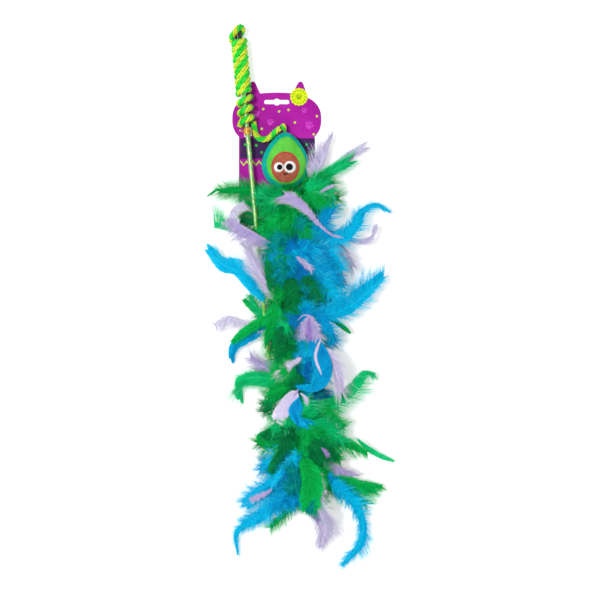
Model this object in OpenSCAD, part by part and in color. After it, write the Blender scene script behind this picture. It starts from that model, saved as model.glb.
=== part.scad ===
// Cat teaser wand: a clear rod with a rope-wound handle, and a short rope lead that carries
// a stuffed avocado and a long feather boa. A hang card is tied to the rod.
// The wand lies flat. +Z is up, +Y points along the wand to the handle, and the origin is on
// the back face of the card, straight under the twist tie. Sizes are in millimetres.

/* [Rod] */
// Length of the rod
rod_length = 457; // [300:1:700]
// Outer diameter of the clear tube
rod_diameter = 6.4; // [5:0.1:7.5]
// Wall of the clear tube
tube_wall = 0.9; // [0.5:0.1:1.4]
// Diameter of the twisted cord inside the tube
inner_cord_diameter = 4; // [2:0.1:4.2]
// Length of rod between its top end and the twist tie
rod_above_tie = 128; // [125:1:150]
// Lean of the rod to the left of the wand's length, in degrees
rod_lean = 5.4; // [4:0.1:6.5]

/* [Handle] */
// Diameter of the rope where it is wound tight on the handle
handle_rope = 6.2; // [5:0.1:6.4]
// Length of the wound grip
grip_length = 71; // [66:1:80]
// Whole turns of rope on the grip, to which a last half turn is added
grip_turns = 9; // [6:1:9]
// Diameter of the end cap
cap_diameter = 9.2; // [8.6:0.1:10]
// Length of the end cap
cap_length = 12; // [8:0.5:12.5]
// Diameter of the rope in the hang loop
loop_rope = 6.2; // [4:0.1:6.4]

/* [Lead] */
// Diameter of the rope where it is hitched round the rod
hitch_rope = 7.2; // [6:0.1:7.6]
// Distance along the rod from one hitch to the next
hitch_pitch = 12.5; // [12:0.1:13]
// Diameter of the free rope lead
lead_rope_diameter = 8; // [6:0.1:8]
// Width of the twist tie, along the rod
tie_width = 9; // [5:0.5:9.5]
// Thickness of the twist tie
tie_thickness = 0.8; // [0.5:0.1:1]

/* [Card] */
// Width of the card's head
card_width = 113; // [105:1:120]
// Height of the card from its crown to its lower edge
card_height = 143; // [135:1:150]
// Width of the card below its head
card_body_width = 96; // [88:1:100]
// Thickness of the card
card_thickness = 0.6; // [0.4:0.1:0.8]
// Height of the two ears above the crown
ear_height = 14; // [8:1:20]
// Length of the hang slot
slot_length = 32; // [28:0.5:36]
// Height of the hang slot at its ends
slot_height = 5.3; // [4:0.1:6]
// Height of the hang slot at its middle
slot_middle_height = 8.7; // [7:0.1:10]
// Diameter of the round sticker
badge_diameter = 23; // [18:0.5:26]
// Thickness of the sticker
badge_thickness = 0.2; // [0.1:0.05:0.4]

/* [Avocado] */
// Width of the stuffed avocado
avocado_width = 60; // [52:1:64]
// Height of the stuffed avocado
avocado_height = 72; // [68:1:76]
// Depth of its front half
avocado_front_depth = 11; // [8:0.5:14]
// Depth of its back half
avocado_back_depth = 7; // [5:0.5:7.5]
// Thickness of the plush fabric
plush = 1.2; // [0.8:0.1:1.6]
// Width of the stone patch
stone_width = 34; // [26:1:36]
// Height of the stone patch
stone_height = 37; // [28:1:40]
// Diameter of the eyes
eye_diameter = 13.6; // [8:0.2:14]
// Diameter of the pupils
pupil_diameter = 8; // [4:0.5:9]

/* [Boa] */
// Length of one link of the boa
boa_link_length = 79; // [72:1:84]
// Width of the down round the core
down_width = 58; // [46:1:60]
// Height of the down round the core
down_height = 53; // [52:1:56]
// Diameter of the core cord
core_diameter = 4.4; // [3:0.1:4.8]
// Reach of the long feathers from the core, where a feather's share is one
feather_reach = 100; // [85:1:110]
// Widest part of a broad feather
feather_width = 20; // [14:1:24]
// Thickness of a feather along its quill
feather_thickness = 1.4; // [1:0.1:1.6]
// Fall of a long feather's tip below its root
feather_fall = 12; // [8:0.5:12.5]
// Lean of the boa to the right of the wand's length, in degrees
boa_lean = 3.1; // [2:0.1:3.6]

/* [Hidden] */

$fn = 48;
// Gap between pieces that lie against each other
gap = 0.3;
// Overrun of a cut past the face that it opens
overrun = 1;

rod_radius = rod_diameter / 2;
bore_radius = rod_radius - tube_wall;
handle_radius = rod_radius + gap + handle_rope;
hitch_radius = rod_radius + gap + hitch_rope;
floor_clearance = 1.2;
loop_radius = cap_diameter / 2 + gap + loop_rope;
rod_z = max(handle_radius + floor_clearance, card_thickness + gap + hitch_radius, loop_radius + gap);
rod_bottom = rod_above_tie - rod_length;

// The cap closes the rod's top end, and its bore stops against the rod
cap_end_wall = 1.5;
cap_round = 3;
cap_fit = 0.1;
cap_radius = cap_diameter / 2;
cap_top = rod_above_tie + cap_end_wall;
plug_length = 8;
plug_flange = 1.2;

// The grip hangs down from just under the cap
grip_top = cap_top - cap_length - 2 * gap;
grip_pitch = (grip_length - handle_rope) / (grip_turns + 1 / 2);
grip_orbit = rod_radius + gap + handle_rope / 2;
loop_orbit = cap_radius + gap + loop_rope / 2;
loop_rise = cap_length + gap + loop_rope / 2;
// Way of the loop across the cap's front and down its back: angle round the rod and share of its rise
loop_stations = [
    [180, 0], [180, 0.1], [170, 0.21], [150, 0.29], [125, 0.37], [100, 0.47], [75, 0.6], [50, 0.75],
    [25, 0.9], [0, 1], [-28, 0.97], [-55, 0.8], [-74, 0.55], [-85, 0.3], [-88, 0.12], [-88, 0]
];
loop_route = [
    for (s = loop_stations)
        [loop_orbit * cos(s[0]), grip_top + gap + loop_rise * s[1], loop_orbit * sin(s[0])]
];

// The hitches start below the grip and end above the tie
hitch_orbit = rod_radius + gap + hitch_rope / 2;
hitch_turns = 2;
hitch_top = grip_top - grip_length - gap - hitch_rope / 2;

// Route of the free lead, from the lower hitch past the tie to the top of the avocado
lead_route = [
    [7.4, 12.6, 5], [7.9, 9.4, 5], [8.4, 6.2, 5], [8.9, 3, 5], [9.4, 0, 5], [10.3, -3.2, 5],
    [12, -5.8, 5], [14.4, -8.1, 5], [17.6, -9.5, 5], [21.2, -9.9, 5], [24.8, -9.2, 5],
    [28, -7.6, 5.2], [31, -5, 5.8], [34, -2.1, 6.9], [37, 0.6, 8.3], [39.6, 2.6, 9.5],
    [41.7, 3.9, 10.2]
];
lead_radius = lead_rope_diameter / 2;
lead_sides = 12;
lead_swing_point = [45.5, 5.8, 10.6];
lead_end_radius = lead_radius * 0.94;
lead_stitch_radius = 2;

// The tie goes over the rod, and its two legs pass through slits in the card
tie_half = rod_radius + gap;
tie_top = rod_z + rod_radius + gap;
tie_twist_length = 6.5;
tie_twist_radius = 1.1;
tie_slit_play = 1.2;

// The card's outline is drawn about the middle line of its head
card_middle = 37;
card_crown = 50;
card_head_height = 68;
card_corner = 6;
ear_share = 0.5;
ear_half_base = 16;
ear_tip_radius = 3.5;
slot_drop = 12;
badge_drop_share = 0.08;
badge_side_share = 0.5;
badge_scallops = 14;
badge_scallop_depth = 0.8;

// The avocado is drawn about its widest height, with its seam in one level plane
avocado_x = 48;
avocado_top = -1.3;
avocado_lift = 3.6;
avocado_z = card_thickness + avocado_lift + avocado_back_depth;
lead_lift_point = [avocado_x - 0.5, avocado_top + lead_stitch_radius + gap, avocado_z];
avocado_middle_share = 0.56;
avocado_sides = 32;
face_share = 0.84;
patch_thickness = 0.5;
stone_drop_share = 0.62;
eye_spread_share = 0.21;
eye_rise_share = 0.06;
smile_width = 6;
smile_rod = 0.6;
smile_drop_share = 0.2;

// The boa's core hangs from the bottom of the avocado in five links
core_radius = core_diameter / 2;
boa_x = avocado_x + 3;
boa_top = avocado_top - avocado_height - core_radius - gap;
flat_depth = 0.5;
boa_z = down_height / 2 - flat_depth;
down_inset = 3;
down_sides = 16;
down_rings = 10;
binding_length = 5;
binding_thickness = 1;

// Odd links carry their feathers under the core and even links over it, one level to a colour
feather_step = 3.2;
under_level = rod_z + rod_radius + 1.4;
over_level = boa_z + core_radius + 1.6;
feather_width_shares = [0.16, 0.62, 0.95, 1, 0.82, 0.45, 0.04];

// Each feather: where it leaves the link, its tip across and down, its bow and its width,
// as shares of the link's length, the feathers' reach twice, the reach again and the width
green_shares = [
    [[0.08, -1.04, 0.03, -0.1, 1.1], [0.88, -0.94, -0.58, 0.18, 1.05], [0.09, -0.58, 0.16, -0.04, 1.3],
        [0.4, -0.34, 0.29, 0.04, 1.3], [0.12, 0.54, 0.2, 0.1, 1.2]],
    [[0.78, -0.22, -0.46, 0.25, 1.1], [0.79, -0.8, 0.44, 0, 0.95], [0.2, -0.32, 0.86, 0, 1.2],
        [0.76, 0.69, 0.45, 0.03, 0.4]],
    [[0.72, -0.62, -0.78, 0, 0.65], [0.12, -0.2, 0.48, -0.1, 1.3], [0.47, -0.34, 0.32, -0.1, 1.3],
        [0.78, -0.46, 0.22, 0, 1.2]],
    [[0.18, -0.79, 0.1, -0.2, 1], [0.18, -0.47, 0.28, -0.07, 1.2], [0.6, -0.5, 0.3, -0.14, 0.5],
        [0.65, 1, -0.52, 0, 0.95], [0.86, 1.15, 0.4, 0.05, 0.85], [0.18, 0.55, 0.45, 0.05, 1.2],
        [0.42, 0.53, 0.59, 0.03, 1.3], [0.5, -0.42, 0.3, -0.04, 1.2]],
    [[0.14, 0.04, 0.76, 0.05, 1.1], [0.2, 0.24, 0.6, 0.06, 1.1], [0.93, -0.53, 0.42, 0, 1],
        [0.66, 1.06, 0.11, 0.02, 0.85], [0.71, 0.82, 0.37, 0.07, 0.85], [0.9, 0.09, 0.53, 0.16, 1.2]]
];
blue_shares = [
    [[0.62, 1.28, -0.13, 0.06, 1.1], [0.51, 0.66, -0.06, 0.05, 1.2], [0.42, 0.63, 0.23, -0.08, 1.3],
        [0.57, 0.62, 0.5, 0.07, 1.3]],
    [[0.92, -1.05, -0.8, 0, 1.05], [0.12, 0.64, 0.4, 0.08, 1.2], [0.49, 0.51, 0.7, 0.03, 1.3],
        [0.14, -0.38, 0.18, -0.1, 1]],
    [[0.1, 1.15, -0.52, -0.11, 1.3], [0.1, -0.84, 0.42, -0.1, 0.85], [0.25, 0.02, 0.57, 0.3, 1.2],
        [0.23, 0.2, 0.5, 0.1, 1.2]],
    [[0.31, 0.13, 0.39, -0.1, 0.6]],
    [[0.1, -0.58, 0.28, 0, 1.2], [0.3, -0.78, 0.55, 0, 1.3], [0.55, -0.84, 0.54, 0.05, 1.3],
        [0.7, -0.87, 0.87, -0.11, 1.15], [0.41, 0.43, 1.29, 0.28, 0.9], [0.74, -0.13, 0.58, 0, 1.2]]
];
lilac_shares = [
    [[0.9, -0.71, -0.55, 0.14, 1.2], [0.2, 0.7, 0.42, 0.1, 1], [0.5, 1.12, 0.1, -0.24, 1.1]],
    [[0.9, -0.57, -0.78, 0.07, 1.05], [0.14, 0.69, 0.22, 0.06, 0.8]],
    [[0.29, -1.01, -0.13, -0.03, 0.9], [0.75, -0.6, -0.02, 0.14, 1.1], [0.36, 0.31, 0.45, 0.2, 0.4],
        [0.34, 0.51, 0.6, 0.06, 0.9]],
    [[0.16, -0.27, 0.4, 0, 0.8]],
    [[0.1, 0.17, 1.26, 0.14, 0.8], [0.36, 0.62, 0.23, 0.06, 0.9], [0.19, -0.35, 0.55, 0, 0.7]]
];
// How much of the fall each link's feathers take: those that lie over the rod stay flat
fall_shares = [0, 0.6, 0, 1, 0.75];
// Short filling feathers to a link, and the side that each link's blue ones keep to
green_filling = 6;
blue_filling = 3;
blue_sides = [1, 1, 1, 1, -1];
// The collar's feathers start with the angle at which they leave the avocado, and each colour
// has a level as a share of the avocado's back depth
collar_green_shares = [[-55, 0.64, -0.22, -0.05, 0.9], [-68, 0.6, 0.13, 0.04, 0.8]];
collar_lilac_shares = [[-30, 0.41, -0.48, -0.1, 0.8], [-38, 0.8, -0.31, -0.05, 0.7]];
collar_green_depth_share = 0.55;
collar_lilac_depth_share = 0.25;
collar_stitch_share = 0.04;

rope_green = [0.1, 0.85, 0.2];
plastic_clear = [0.75, 0.95, 0.8, 0.6];
card_purple = [0.62, 0.02, 0.58];
teal = [0.05, 0.66, 0.6];
feather_green = [0.05, 0.6, 0.32];
feather_blue = [0.05, 0.6, 0.8];
feather_lilac = [0.7, 0.6, 0.84];

// Shapes and helpers
function unit(v) = v / norm(v);
function arc(centre, radius, from, to, steps) = [
    for (i = [0 : steps]) let (a = from + (to - from) * i / steps)
        centre + radius * [cos(a), sin(a)]
];
function last(list) = list[len(list) - 1];

// Tangent of a route at one of its points
function tangent(route, i) = unit(route[min(i + 1, len(route) - 1)] - route[max(i - 1, 0)]);

// Points and faces of a tube swept along a route, with a round or a many-sided section
function tube_points(route, radius, sides) = [
    for (i = [0 : len(route) - 1])
        let (t = tangent(route, i), n = unit(cross(t, [0, 0.05, 1])), b = cross(n, t))
            for (j = [0 : sides - 1]) let (a = 360 * j / sides)
                route[i] + radius * (cos(a) * n + sin(a) * b)
];
function tube_faces(rings, sides) = concat(
    [for (i = [0 : rings - 2], j = [0 : sides - 1]) let (k = (j + 1) % sides)
        each [[i * sides + j, i * sides + k, (i + 1) * sides + j],
            [i * sides + k, (i + 1) * sides + k, (i + 1) * sides + j]]],
    [for (j = [1 : sides - 2]) [0, j + 1, j]],
    [for (j = [1 : sides - 2]) let (e = (rings - 1) * sides) [e, e + j, e + j + 1]]
);
module tube(route, radius, sides) {
    polyhedron(tube_points(route, radius, sides), tube_faces(len(route), sides), convexity = 10);
}

// Centre line of a rope wound on the rod, whose two ends run straight for one rope diameter
function wound_route(orbit, pitch, turns, top, rope) = let (
    steps = round(24 * turns),
    turn = [for (i = [0 : steps]) let (a = 360 * i * turns / steps)
        [orbit * cos(a), top - pitch * a / 360, orbit * sin(a)]],
    start = unit(turn[0] - turn[1]),
    end = unit(last(turn) - turn[steps - 1])
) concat([turn[0] + rope * start], turn, [last(turn) + rope * end]);

// A section of a wound rope keeps one corner pointing away from the rod
function wound_points(route, radius, sides) = [
    for (i = [0 : len(route) - 1])
        let (
            t = tangent(route, i),
            m = min(max(i, 1), len(route) - 2),
            out = unit([route[m][0], 0, route[m][2]]),
            n = unit(out - (out * t) * t),
            b = cross(n, t)
        )
            for (j = [0 : sides - 1]) let (a = 360 * j / sides)
                route[i] + radius * (cos(a) * n + sin(a) * b)
];
module wound_rope(route, rope) {
    sides = 6;
    rotate([0, 0, rod_lean])
        translate([0, 0, rod_z])
            polyhedron(
                wound_points(route, rope / 2, sides),
                tube_faces(len(route), sides), convexity = 20
            );
}

// Least gap from one turn to the next, on the points of the centre line
function least_gap(route, rope) = min([
    for (i = [0 : 3 : len(route) - 1], j = [i + 18 : 1 : len(route) - 1])
        norm(route[i] - route[j])
]) - rope;

module on_rod(from) {
    rotate([0, 0, rod_lean])
        translate([0, from, rod_z])
            rotate([90, 0, 0])
                children();
}

// Outline of the avocado: narrow at its top and full at its bottom, as a share of its width
function avocado_outline(a) = let (
    neck = 1 - 0.3 * pow(max(0, sin(a)), 1.5),
    up = avocado_middle_share * avocado_height,
    down = avocado_height - up
) [avocado_width / 2 * cos(a) * neck, (sin(a) > 0 ? up : down) * sin(a)];

// Height of its skin over the seam plane at a share of the way out
swell_power = 0.6;
function swell(share, depth) = depth * pow(max(0, 1 - share * share), swell_power);

ring_shares = [0.18, 0.36, 0.54, 0.7, 0.84, 0.94, 1];

// A stuffed shape with its front and back skin, drawn in by an inset and cut off at a share
module stuffed_shape(front, back, inset) {
    rings = len(ring_shares);
    shrink = 1 - 2 * inset / avocado_width;
    function ring(share, z) = [
        for (i = [0 : avocado_sides - 1])
            let (p = avocado_outline(360 * i / avocado_sides) * share * shrink) [p[0], p[1], z]
    ];
    points = concat(
        [[0, 0, front]],
        [for (s = ring_shares) each ring(s, swell(s, front))],
        [for (r = [1 : rings - 1]) let (s = ring_shares[rings - 1 - r]) each ring(s, -swell(s, back))],
        [[0, 0, -back]]
    );
    bands = 2 * rings - 1;
    end = 1 + bands * avocado_sides;
    faces = concat(
        [for (j = [0 : avocado_sides - 1]) [0, 1 + (j + 1) % avocado_sides, 1 + j]],
        [for (i = [0 : bands - 2], j = [0 : avocado_sides - 1])
            let (k = (j + 1) % avocado_sides, a = 1 + i * avocado_sides, b = a + avocado_sides)
                each [[a + j, a + k, b + j], [a + k, b + k, b + j]]],
        [for (j = [0 : avocado_sides - 1])
            let (a = 1 + (bands - 1) * avocado_sides)
                [end, a + j, a + (j + 1) % avocado_sides]]
    );
    polyhedron(points, faces, convexity = 4);
}
module at_avocado() {
    translate([avocado_x, avocado_top - avocado_middle_share * avocado_height, avocado_z])
        children();
}

// The skin's front, within a share of the outline
module face_area(share, height) {
    linear_extrude(height)
        polygon([for (i = [0 : avocado_sides - 1]) share * avocado_outline(360 * i / avocado_sides)]);
}

// An oval patch that lies on the front skin at a place, a layer above it
function skin_height(x, y) = let (
    a = atan2(y, x * 1.2),
    rim = avocado_outline(a)
) swell(min(1, norm([x, y]) / norm(rim)), avocado_front_depth);
module skin_patch(at, half_width, half_height, lift, thickness) {
    sides = 20;
    rings = [0, 0.5, 1];
    function layer(extra) = [
        for (s = [0.5, 1], i = [0 : sides - 1])
            let (
                a = 360 * i / sides,
                x = at[0] + s * half_width * cos(a),
                y = at[1] + s * half_height * sin(a)
            )
                [x, y, skin_height(x, y) + lift + extra]
    ];
    centre_height = skin_height(at[0], at[1]) + lift;
    points = concat(
        [[at[0], at[1], centre_height + thickness]], layer(thickness),
        [[at[0], at[1], centre_height]], layer(0)
    );
    low = 1 + 2 * sides;
    faces = [
        for (j = [0 : sides - 1]) let (k = (j + 1) % sides) each [
            [0, 1 + k, 1 + j],
            [1 + j, 1 + k, 1 + sides + j], [1 + k, 1 + sides + k, 1 + sides + j],
            [low, low + 1 + j, low + 1 + k],
            [low + 1 + j, low + 1 + sides + j, low + 1 + k],
            [low + 1 + k, low + 1 + sides + j, low + 1 + sides + k],
            [1 + sides + j, 1 + sides + k, low + 1 + sides + j],
            [1 + sides + k, low + 1 + sides + k, low + 1 + sides + j]
        ]
    ];
    polyhedron(points, faces, convexity = 4);
}

// One feather: a leaf-shaped blade with a ridge over and under its quill
function feather_line(root, tip, bow, t) = let (
    chord = tip - root,
    side = [-chord[1], chord[0]]
) root + chord * t + side * bow * 4 * t * (1 - t);
module feather(root, shares, level, fall) {
    function height(p) = level - fall * pow(abs(p[0]) / feather_reach, 1.5);
    tip = root + feather_reach * [shares[1], -shares[2]];
    count = len(feather_width_shares);
    points = [
        for (i = [0 : count - 1])
            let (
                t = i / (count - 1),
                p = feather_line(root, tip, shares[3], t),
                q = feather_line(root, tip, shares[3], t + 0.01),
                n = unit([p[1] - q[1], q[0] - p[0]]),
                half = n * feather_width * shares[4] * feather_width_shares[i] / 2,
                thick = feather_thickness / 2 * (1 - 0.5 * t)
            )
                each [
                    [p[0] + half[0], p[1] + half[1], height(p + half)],
                    [p[0], p[1], height(p) + thick],
                    [p[0] - half[0], p[1] - half[1], height(p - half)],
                    [p[0], p[1], height(p) - thick]
                ]
    ];
    polyhedron(points, [for (f = tube_faces(count, 4)) [f[0], f[2], f[1]]], convexity = 4);
}

module on_boa(k) {
    translate([boa_x, boa_top, 0])
        rotate([0, 0, boa_lean])
            translate([0, -(k - 1) * boa_link_length, 0])
                children();
}
function feather_level(k, step) = (k % 2 == 1 ? under_level : over_level) + step * feather_step;

// Short feathers that fill one edge of the boa or both, spread along a link by a rule
function filling_shares(k, step, count, edge) = [
    for (i = [0 : count - 1])
        let (
            side = edge != 0 ? edge : (i + k) % 2 == 0 ? 1 : -1,
            wave = sin(137 * (3 * i + 5 * step + 7 * k))
        )
            [0.1 + 0.72 * (i + 0.5) / count, side * (0.46 + 0.06 * wave), 0.15 + 0.1 * wave, 0, 1]
];
module feathers(k, step, shares) {
    on_boa(k)
        for (f = shares)
            feather(
                [0, -f[0] * boa_link_length], f, feather_level(k, step), feather_fall * fall_shares[k - 1]
            );
}

// The wand
module rod_tube() {
    color(plastic_clear)
        on_rod(rod_above_tie)
            difference() {
                cylinder(r = rod_radius, h = rod_length);
                translate([0, 0, -overrun])
                    cylinder(r = bore_radius, h = rod_length + 2 * overrun);
            }
}

module rod_inner_cord() {
    color(rope_green)
        on_rod(rod_above_tie - gap)
            cylinder(d = min(inner_cord_diameter, 2 * (bore_radius - gap)), h = rod_length - plug_length);
}

module handle_end_cap() {
    inside = rod_radius + cap_fit;
    color([0.05, 0.05, 0.05])
        on_rod(cap_top)
            rotate_extrude()
                difference() {
                    union() {
                        translate([0, cap_round])
                            square([cap_radius, cap_length - cap_round]);
                        square([cap_radius - cap_round, cap_length]);
                        translate([cap_radius - cap_round, cap_round])
                            intersection() {
                                circle(r = cap_round);
                                translate([0, -cap_round])
                                    square([cap_round, cap_round]);
                            }
                    }
                    translate([0, cap_end_wall])
                        square([inside, cap_length]);
                }
}

module rod_tip_plug() {
    color([0.9, 0.95, 0.9])
        on_rod(rod_bottom + plug_length - 2 * gap) {
            cylinder(r = bore_radius - cap_fit, h = plug_length);
            translate([0, 0, plug_length - gap])
                cylinder(r = rod_radius, h = plug_flange);
        }
}

module hang_loop() {
    color(rope_green)
        wound_rope(loop_route, loop_rope);
}

grip_route = wound_route(
    grip_orbit, grip_pitch, grip_turns + 1 / 2, grip_top - handle_rope / 2, handle_rope);
hitch_route = wound_route(hitch_orbit, hitch_pitch, hitch_turns + 1 / 2, hitch_top, hitch_rope);
echo(least_gap_on_grip = least_gap(grip_route, handle_rope));
echo(least_gap_between_hitches = least_gap(hitch_route, hitch_rope));

module handle_winding() {
    color(rope_green)
        wound_rope(grip_route, handle_rope);
}

module lead_hitches() {
    color(rope_green)
        wound_rope(hitch_route, hitch_rope);
}

module lead_rope() {
    color(rope_green)
        tube(lead_route, lead_radius, lead_sides);
}

// The lead's last bit bends where it meets the lead, and at the stitches in the avocado
module lead_rope_end() {
    reach = lead_lift_point - lead_swing_point;
    across = norm([reach[0], reach[1]]);
    color(rope_green)
        translate(lead_swing_point)
            rotate([0, atan2(across, reach[2]), atan2(reach[1], reach[0])])
                rotate_extrude()
                    polygon(concat(
                        [for (a = [-90:15:0]) lead_end_radius * [cos(a), sin(a)]],
                        [for (a = [0:30:90]) [0, norm(reach)] + lead_stitch_radius * [cos(a), sin(a)]]
                    ));
}

module tie_arch(half) {
    translate([0, rod_z])
        circle(r = half);
    translate([-half, 0])
        square([2 * half, rod_z]);
}
module twist_tie() {
    color([0.75, 0.5, 0.1])
        rotate([0, 0, rod_lean]) {
            translate([0, tie_width / 2, 0])
                rotate([90, 0, 0])
                    linear_extrude(tie_width)
                        difference() {
                            tie_arch(tie_half + tie_thickness);
                            tie_arch(tie_half);
                        }
            translate([-tie_half - tie_thickness / 2, 0, rod_z])
                rotate([0, -100, -20])
                    cylinder(r = tie_twist_radius, h = tie_twist_length);
        }
}

// The card
module ear(side) {
    base = card_crown - ear_height;
    tip = [card_middle + side * (ear_share * card_width / 2 + ear_half_base * 0.12), card_crown + ear_height];
    middle = card_middle + side * ear_share * card_width / 2;
    polygon(concat(
        [[middle - ear_half_base, base], [middle + ear_half_base, base - ear_height / 2]],
        arc(tip - [0, ear_tip_radius], ear_tip_radius, 20, 160, 8)
    ));
}
module card_outline() {
    head_middle = card_crown - card_head_height / 2;
    card_bottom = card_crown - card_height;
    head = [for (i = [0 : 71]) let (a = 5 * i)
        [card_middle + card_width / 2 * sign(cos(a)) * pow(abs(cos(a)), 0.8),
            head_middle + card_head_height / 2 * sign(sin(a)) * pow(abs(sin(a)), 0.8)]];
    half = card_body_width / 2;
    body = concat(
        [[card_middle - half, head_middle]],
        arc([card_middle - half + card_corner, card_bottom + card_corner], card_corner, 180, 270, 8),
        arc([card_middle + half - card_corner, card_bottom + card_corner], card_corner, 270, 360, 8),
        [[card_middle + half, head_middle]]
    );
    union() {
        polygon(head);
        polygon(body);
        ear(-1);
        ear(1);
    }
}
module hang_slot() {
    end_radius = slot_height / 2;
    translate([card_middle, card_crown - slot_drop]) {
        square([slot_length - slot_height, slot_height], center = true);
        circle(d = slot_middle_height);
        for (side = [-1, 1])
            translate([side * (slot_length / 2 - end_radius), 0])
                circle(r = end_radius);
    }
}
module tie_slits() {
    rotate([0, 0, rod_lean])
        for (side = [-1, 1])
            translate([side * (tie_half + tie_thickness / 2), 0])
                square([tie_thickness + tie_slit_play, tie_width + 2 * tie_slit_play], center = true);
}
module header_card() {
    color(card_purple)
        linear_extrude(card_thickness)
            difference() {
                card_outline();
                hang_slot();
                tie_slits();
            }
}

module card_badge() {
    steps = 6 * badge_scallops;
    edge = [for (i = [0 : steps - 1]) let (a = 360 * i / steps)
        (badge_diameter / 2 - badge_scallop_depth * (1 + cos(a * badge_scallops)) / 2) * [cos(a), sin(a)]];
    color([0.9, 0.95, 0.1])
        translate([
            card_middle + badge_side_share * card_width / 2,
            card_crown - badge_drop_share * card_head_height,
            card_thickness
        ])
            linear_extrude(badge_thickness)
                polygon(edge);
}

// The stuffed avocado
module avocado_skin() {
    difference() {
        stuffed_shape(avocado_front_depth, avocado_back_depth, 0);
        stuffed_shape(avocado_front_depth - plush, avocado_back_depth - plush, plush);
    }
}
module avocado_back_panel() {
    color(teal)
        at_avocado()
            difference() {
                avocado_skin();
                face_area(face_share, avocado_front_depth + overrun);
            }
}

module avocado_front_panel() {
    seam = 1 - gap / avocado_width;
    color([0.4, 0.85, 0.3])
        at_avocado()
            intersection() {
                avocado_skin();
                face_area(face_share * seam, avocado_front_depth + overrun);
            }
}

module avocado_stuffing() {
    inset = plush + gap;
    color("white")
        at_avocado()
            stuffed_shape(avocado_front_depth - inset, avocado_back_depth - inset, inset);
}

stone_at = [0, (avocado_middle_share - stone_drop_share) * avocado_height];
module stone_patch() {
    color([0.72, 0.38, 0.3])
        at_avocado()
            skin_patch(stone_at, stone_width / 2, stone_height / 2, gap, patch_thickness);
}

stone_top = gap + patch_thickness;
eye_top = stone_top + gap + patch_thickness;
eye_side = max(eye_spread_share * stone_width, eye_diameter / 2 + gap);
module eye(side) {
    at = stone_at + [side * eye_side, eye_rise_share * stone_height];
    color("white")
        at_avocado()
            skin_patch(at, eye_diameter / 2, eye_diameter / 2, stone_top + gap, patch_thickness);
}
module pupil(side) {
    at = stone_at + [side * eye_side, eye_rise_share * stone_height];
    color("black")
        at_avocado()
            skin_patch(at, pupil_diameter / 2, pupil_diameter / 2, eye_top + gap, patch_thickness);
}

module smile_patch() {
    radius = smile_width / 2;
    at = stone_at - [0, smile_drop_share * stone_height];
    color("black")
        at_avocado()
            translate([at[0], at[1], skin_height(at[0], at[1]) + stone_top + gap])
                linear_extrude(patch_thickness)
                    intersection() {
                        difference() {
                            circle(r = radius);
                            circle(r = radius - smile_rod);
                        }
                        translate([-radius, -radius])
                            square([smile_width, radius]);
                    }
}

// Feathers stitched into the back of the avocado, which come out behind its right side
module collar(shares, depth_share) {
    root_share = sqrt(1 - pow(depth_share, 1 / swell_power)) - collar_stitch_share;
    at_avocado()
        for (f = shares)
            feather(root_share * avocado_outline(f[0]), f, -depth_share * avocado_back_depth, 0);
}
module collar_green_feathers() {
    color(feather_green)
        collar(collar_green_shares, collar_green_depth_share);
}
module collar_lilac_feathers() {
    color(feather_lilac)
        collar(collar_lilac_shares, collar_lilac_depth_share);
}

// The boa
module boa_core(k) {
    color(feather_green)
        on_boa(k)
            translate([0, 0, boa_z]) {
                sphere(r = core_radius);
                rotate([90, 0, 0])
                    cylinder(
                        r = core_radius,
                        h = boa_link_length + (k < 5 ? -core_radius - gap : binding_length)
                    );
            }
}

module boa_end_binding() {
    color("white")
        on_boa(5)
            translate([0, -boa_link_length, boa_z])
                rotate([90, 0, 0])
                    difference() {
                        cylinder(r = core_radius + cap_fit + binding_thickness, h = binding_length);
                        translate([0, 0, -overrun])
                            cylinder(r = core_radius + cap_fit, h = binding_length + 2 * overrun);
                    }
}

// Down round the core: it swells and tapers in lumps, and lies flat on the ground
function down_point(k, i, j) = let (
    half = boa_link_length / 2 - down_inset,
    u = -cos(180 * i / down_rings),
    a = 360 * j / down_sides,
    lump = 1 + 0.05 * sin(3 * a + 70 * k + 200 * u) - 0.05,
    round_share = pow(max(0, 1 - u * u), 0.42) * lump
) [
    down_width / 2 * round_share * cos(a),
    -boa_link_length / 2 - half * u,
    max(0, boa_z + down_height / 2 * round_share * sin(a))
];
module boa_down(k) {
    half = boa_link_length / 2 - down_inset;
    rings = down_rings - 1;
    points = concat(
        [[0, -boa_link_length / 2 + half, boa_z]],
        [for (i = [1 : rings], j = [0 : down_sides - 1]) down_point(k, i, j)],
        [[0, -boa_link_length / 2 - half, boa_z]]
    );
    end = 1 + rings * down_sides;
    faces = concat(
        [for (j = [0 : down_sides - 1]) [0, 1 + j, 1 + (j + 1) % down_sides]],
        [for (i = [0 : rings - 2], j = [0 : down_sides - 1])
            let (n = (j + 1) % down_sides, a = 1 + i * down_sides, b = a + down_sides)
                each [[a + j, b + j, a + n], [a + n, b + j, b + n]]],
        [for (j = [0 : down_sides - 1])
            let (a = 1 + (rings - 1) * down_sides) [end, a + (j + 1) % down_sides, a + j]]
    );
    color([0.1, 0.65, 0.5])
        on_boa(k)
            difference() {
                polyhedron(points, faces, convexity = 4);
                translate([0, overrun, boa_z])
                    rotate([90, 0, 0])
                        cylinder(r = core_radius + gap, h = boa_link_length + 2 * overrun, $fn = 12);
            }
}

module boa_green(k) {
    color(feather_green)
        feathers(k, 0, concat(green_shares[k - 1], filling_shares(k, 0, green_filling, 0)));
}
module boa_blue(k) {
    color(feather_blue)
        feathers(
            k, 1, concat(blue_shares[k - 1], filling_shares(k, 1, blue_filling, blue_sides[k - 1]))
        );
}
module boa_lilac(k) {
    color(feather_lilac)
        feathers(k, 2, lilac_shares[k - 1]);
}

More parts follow.
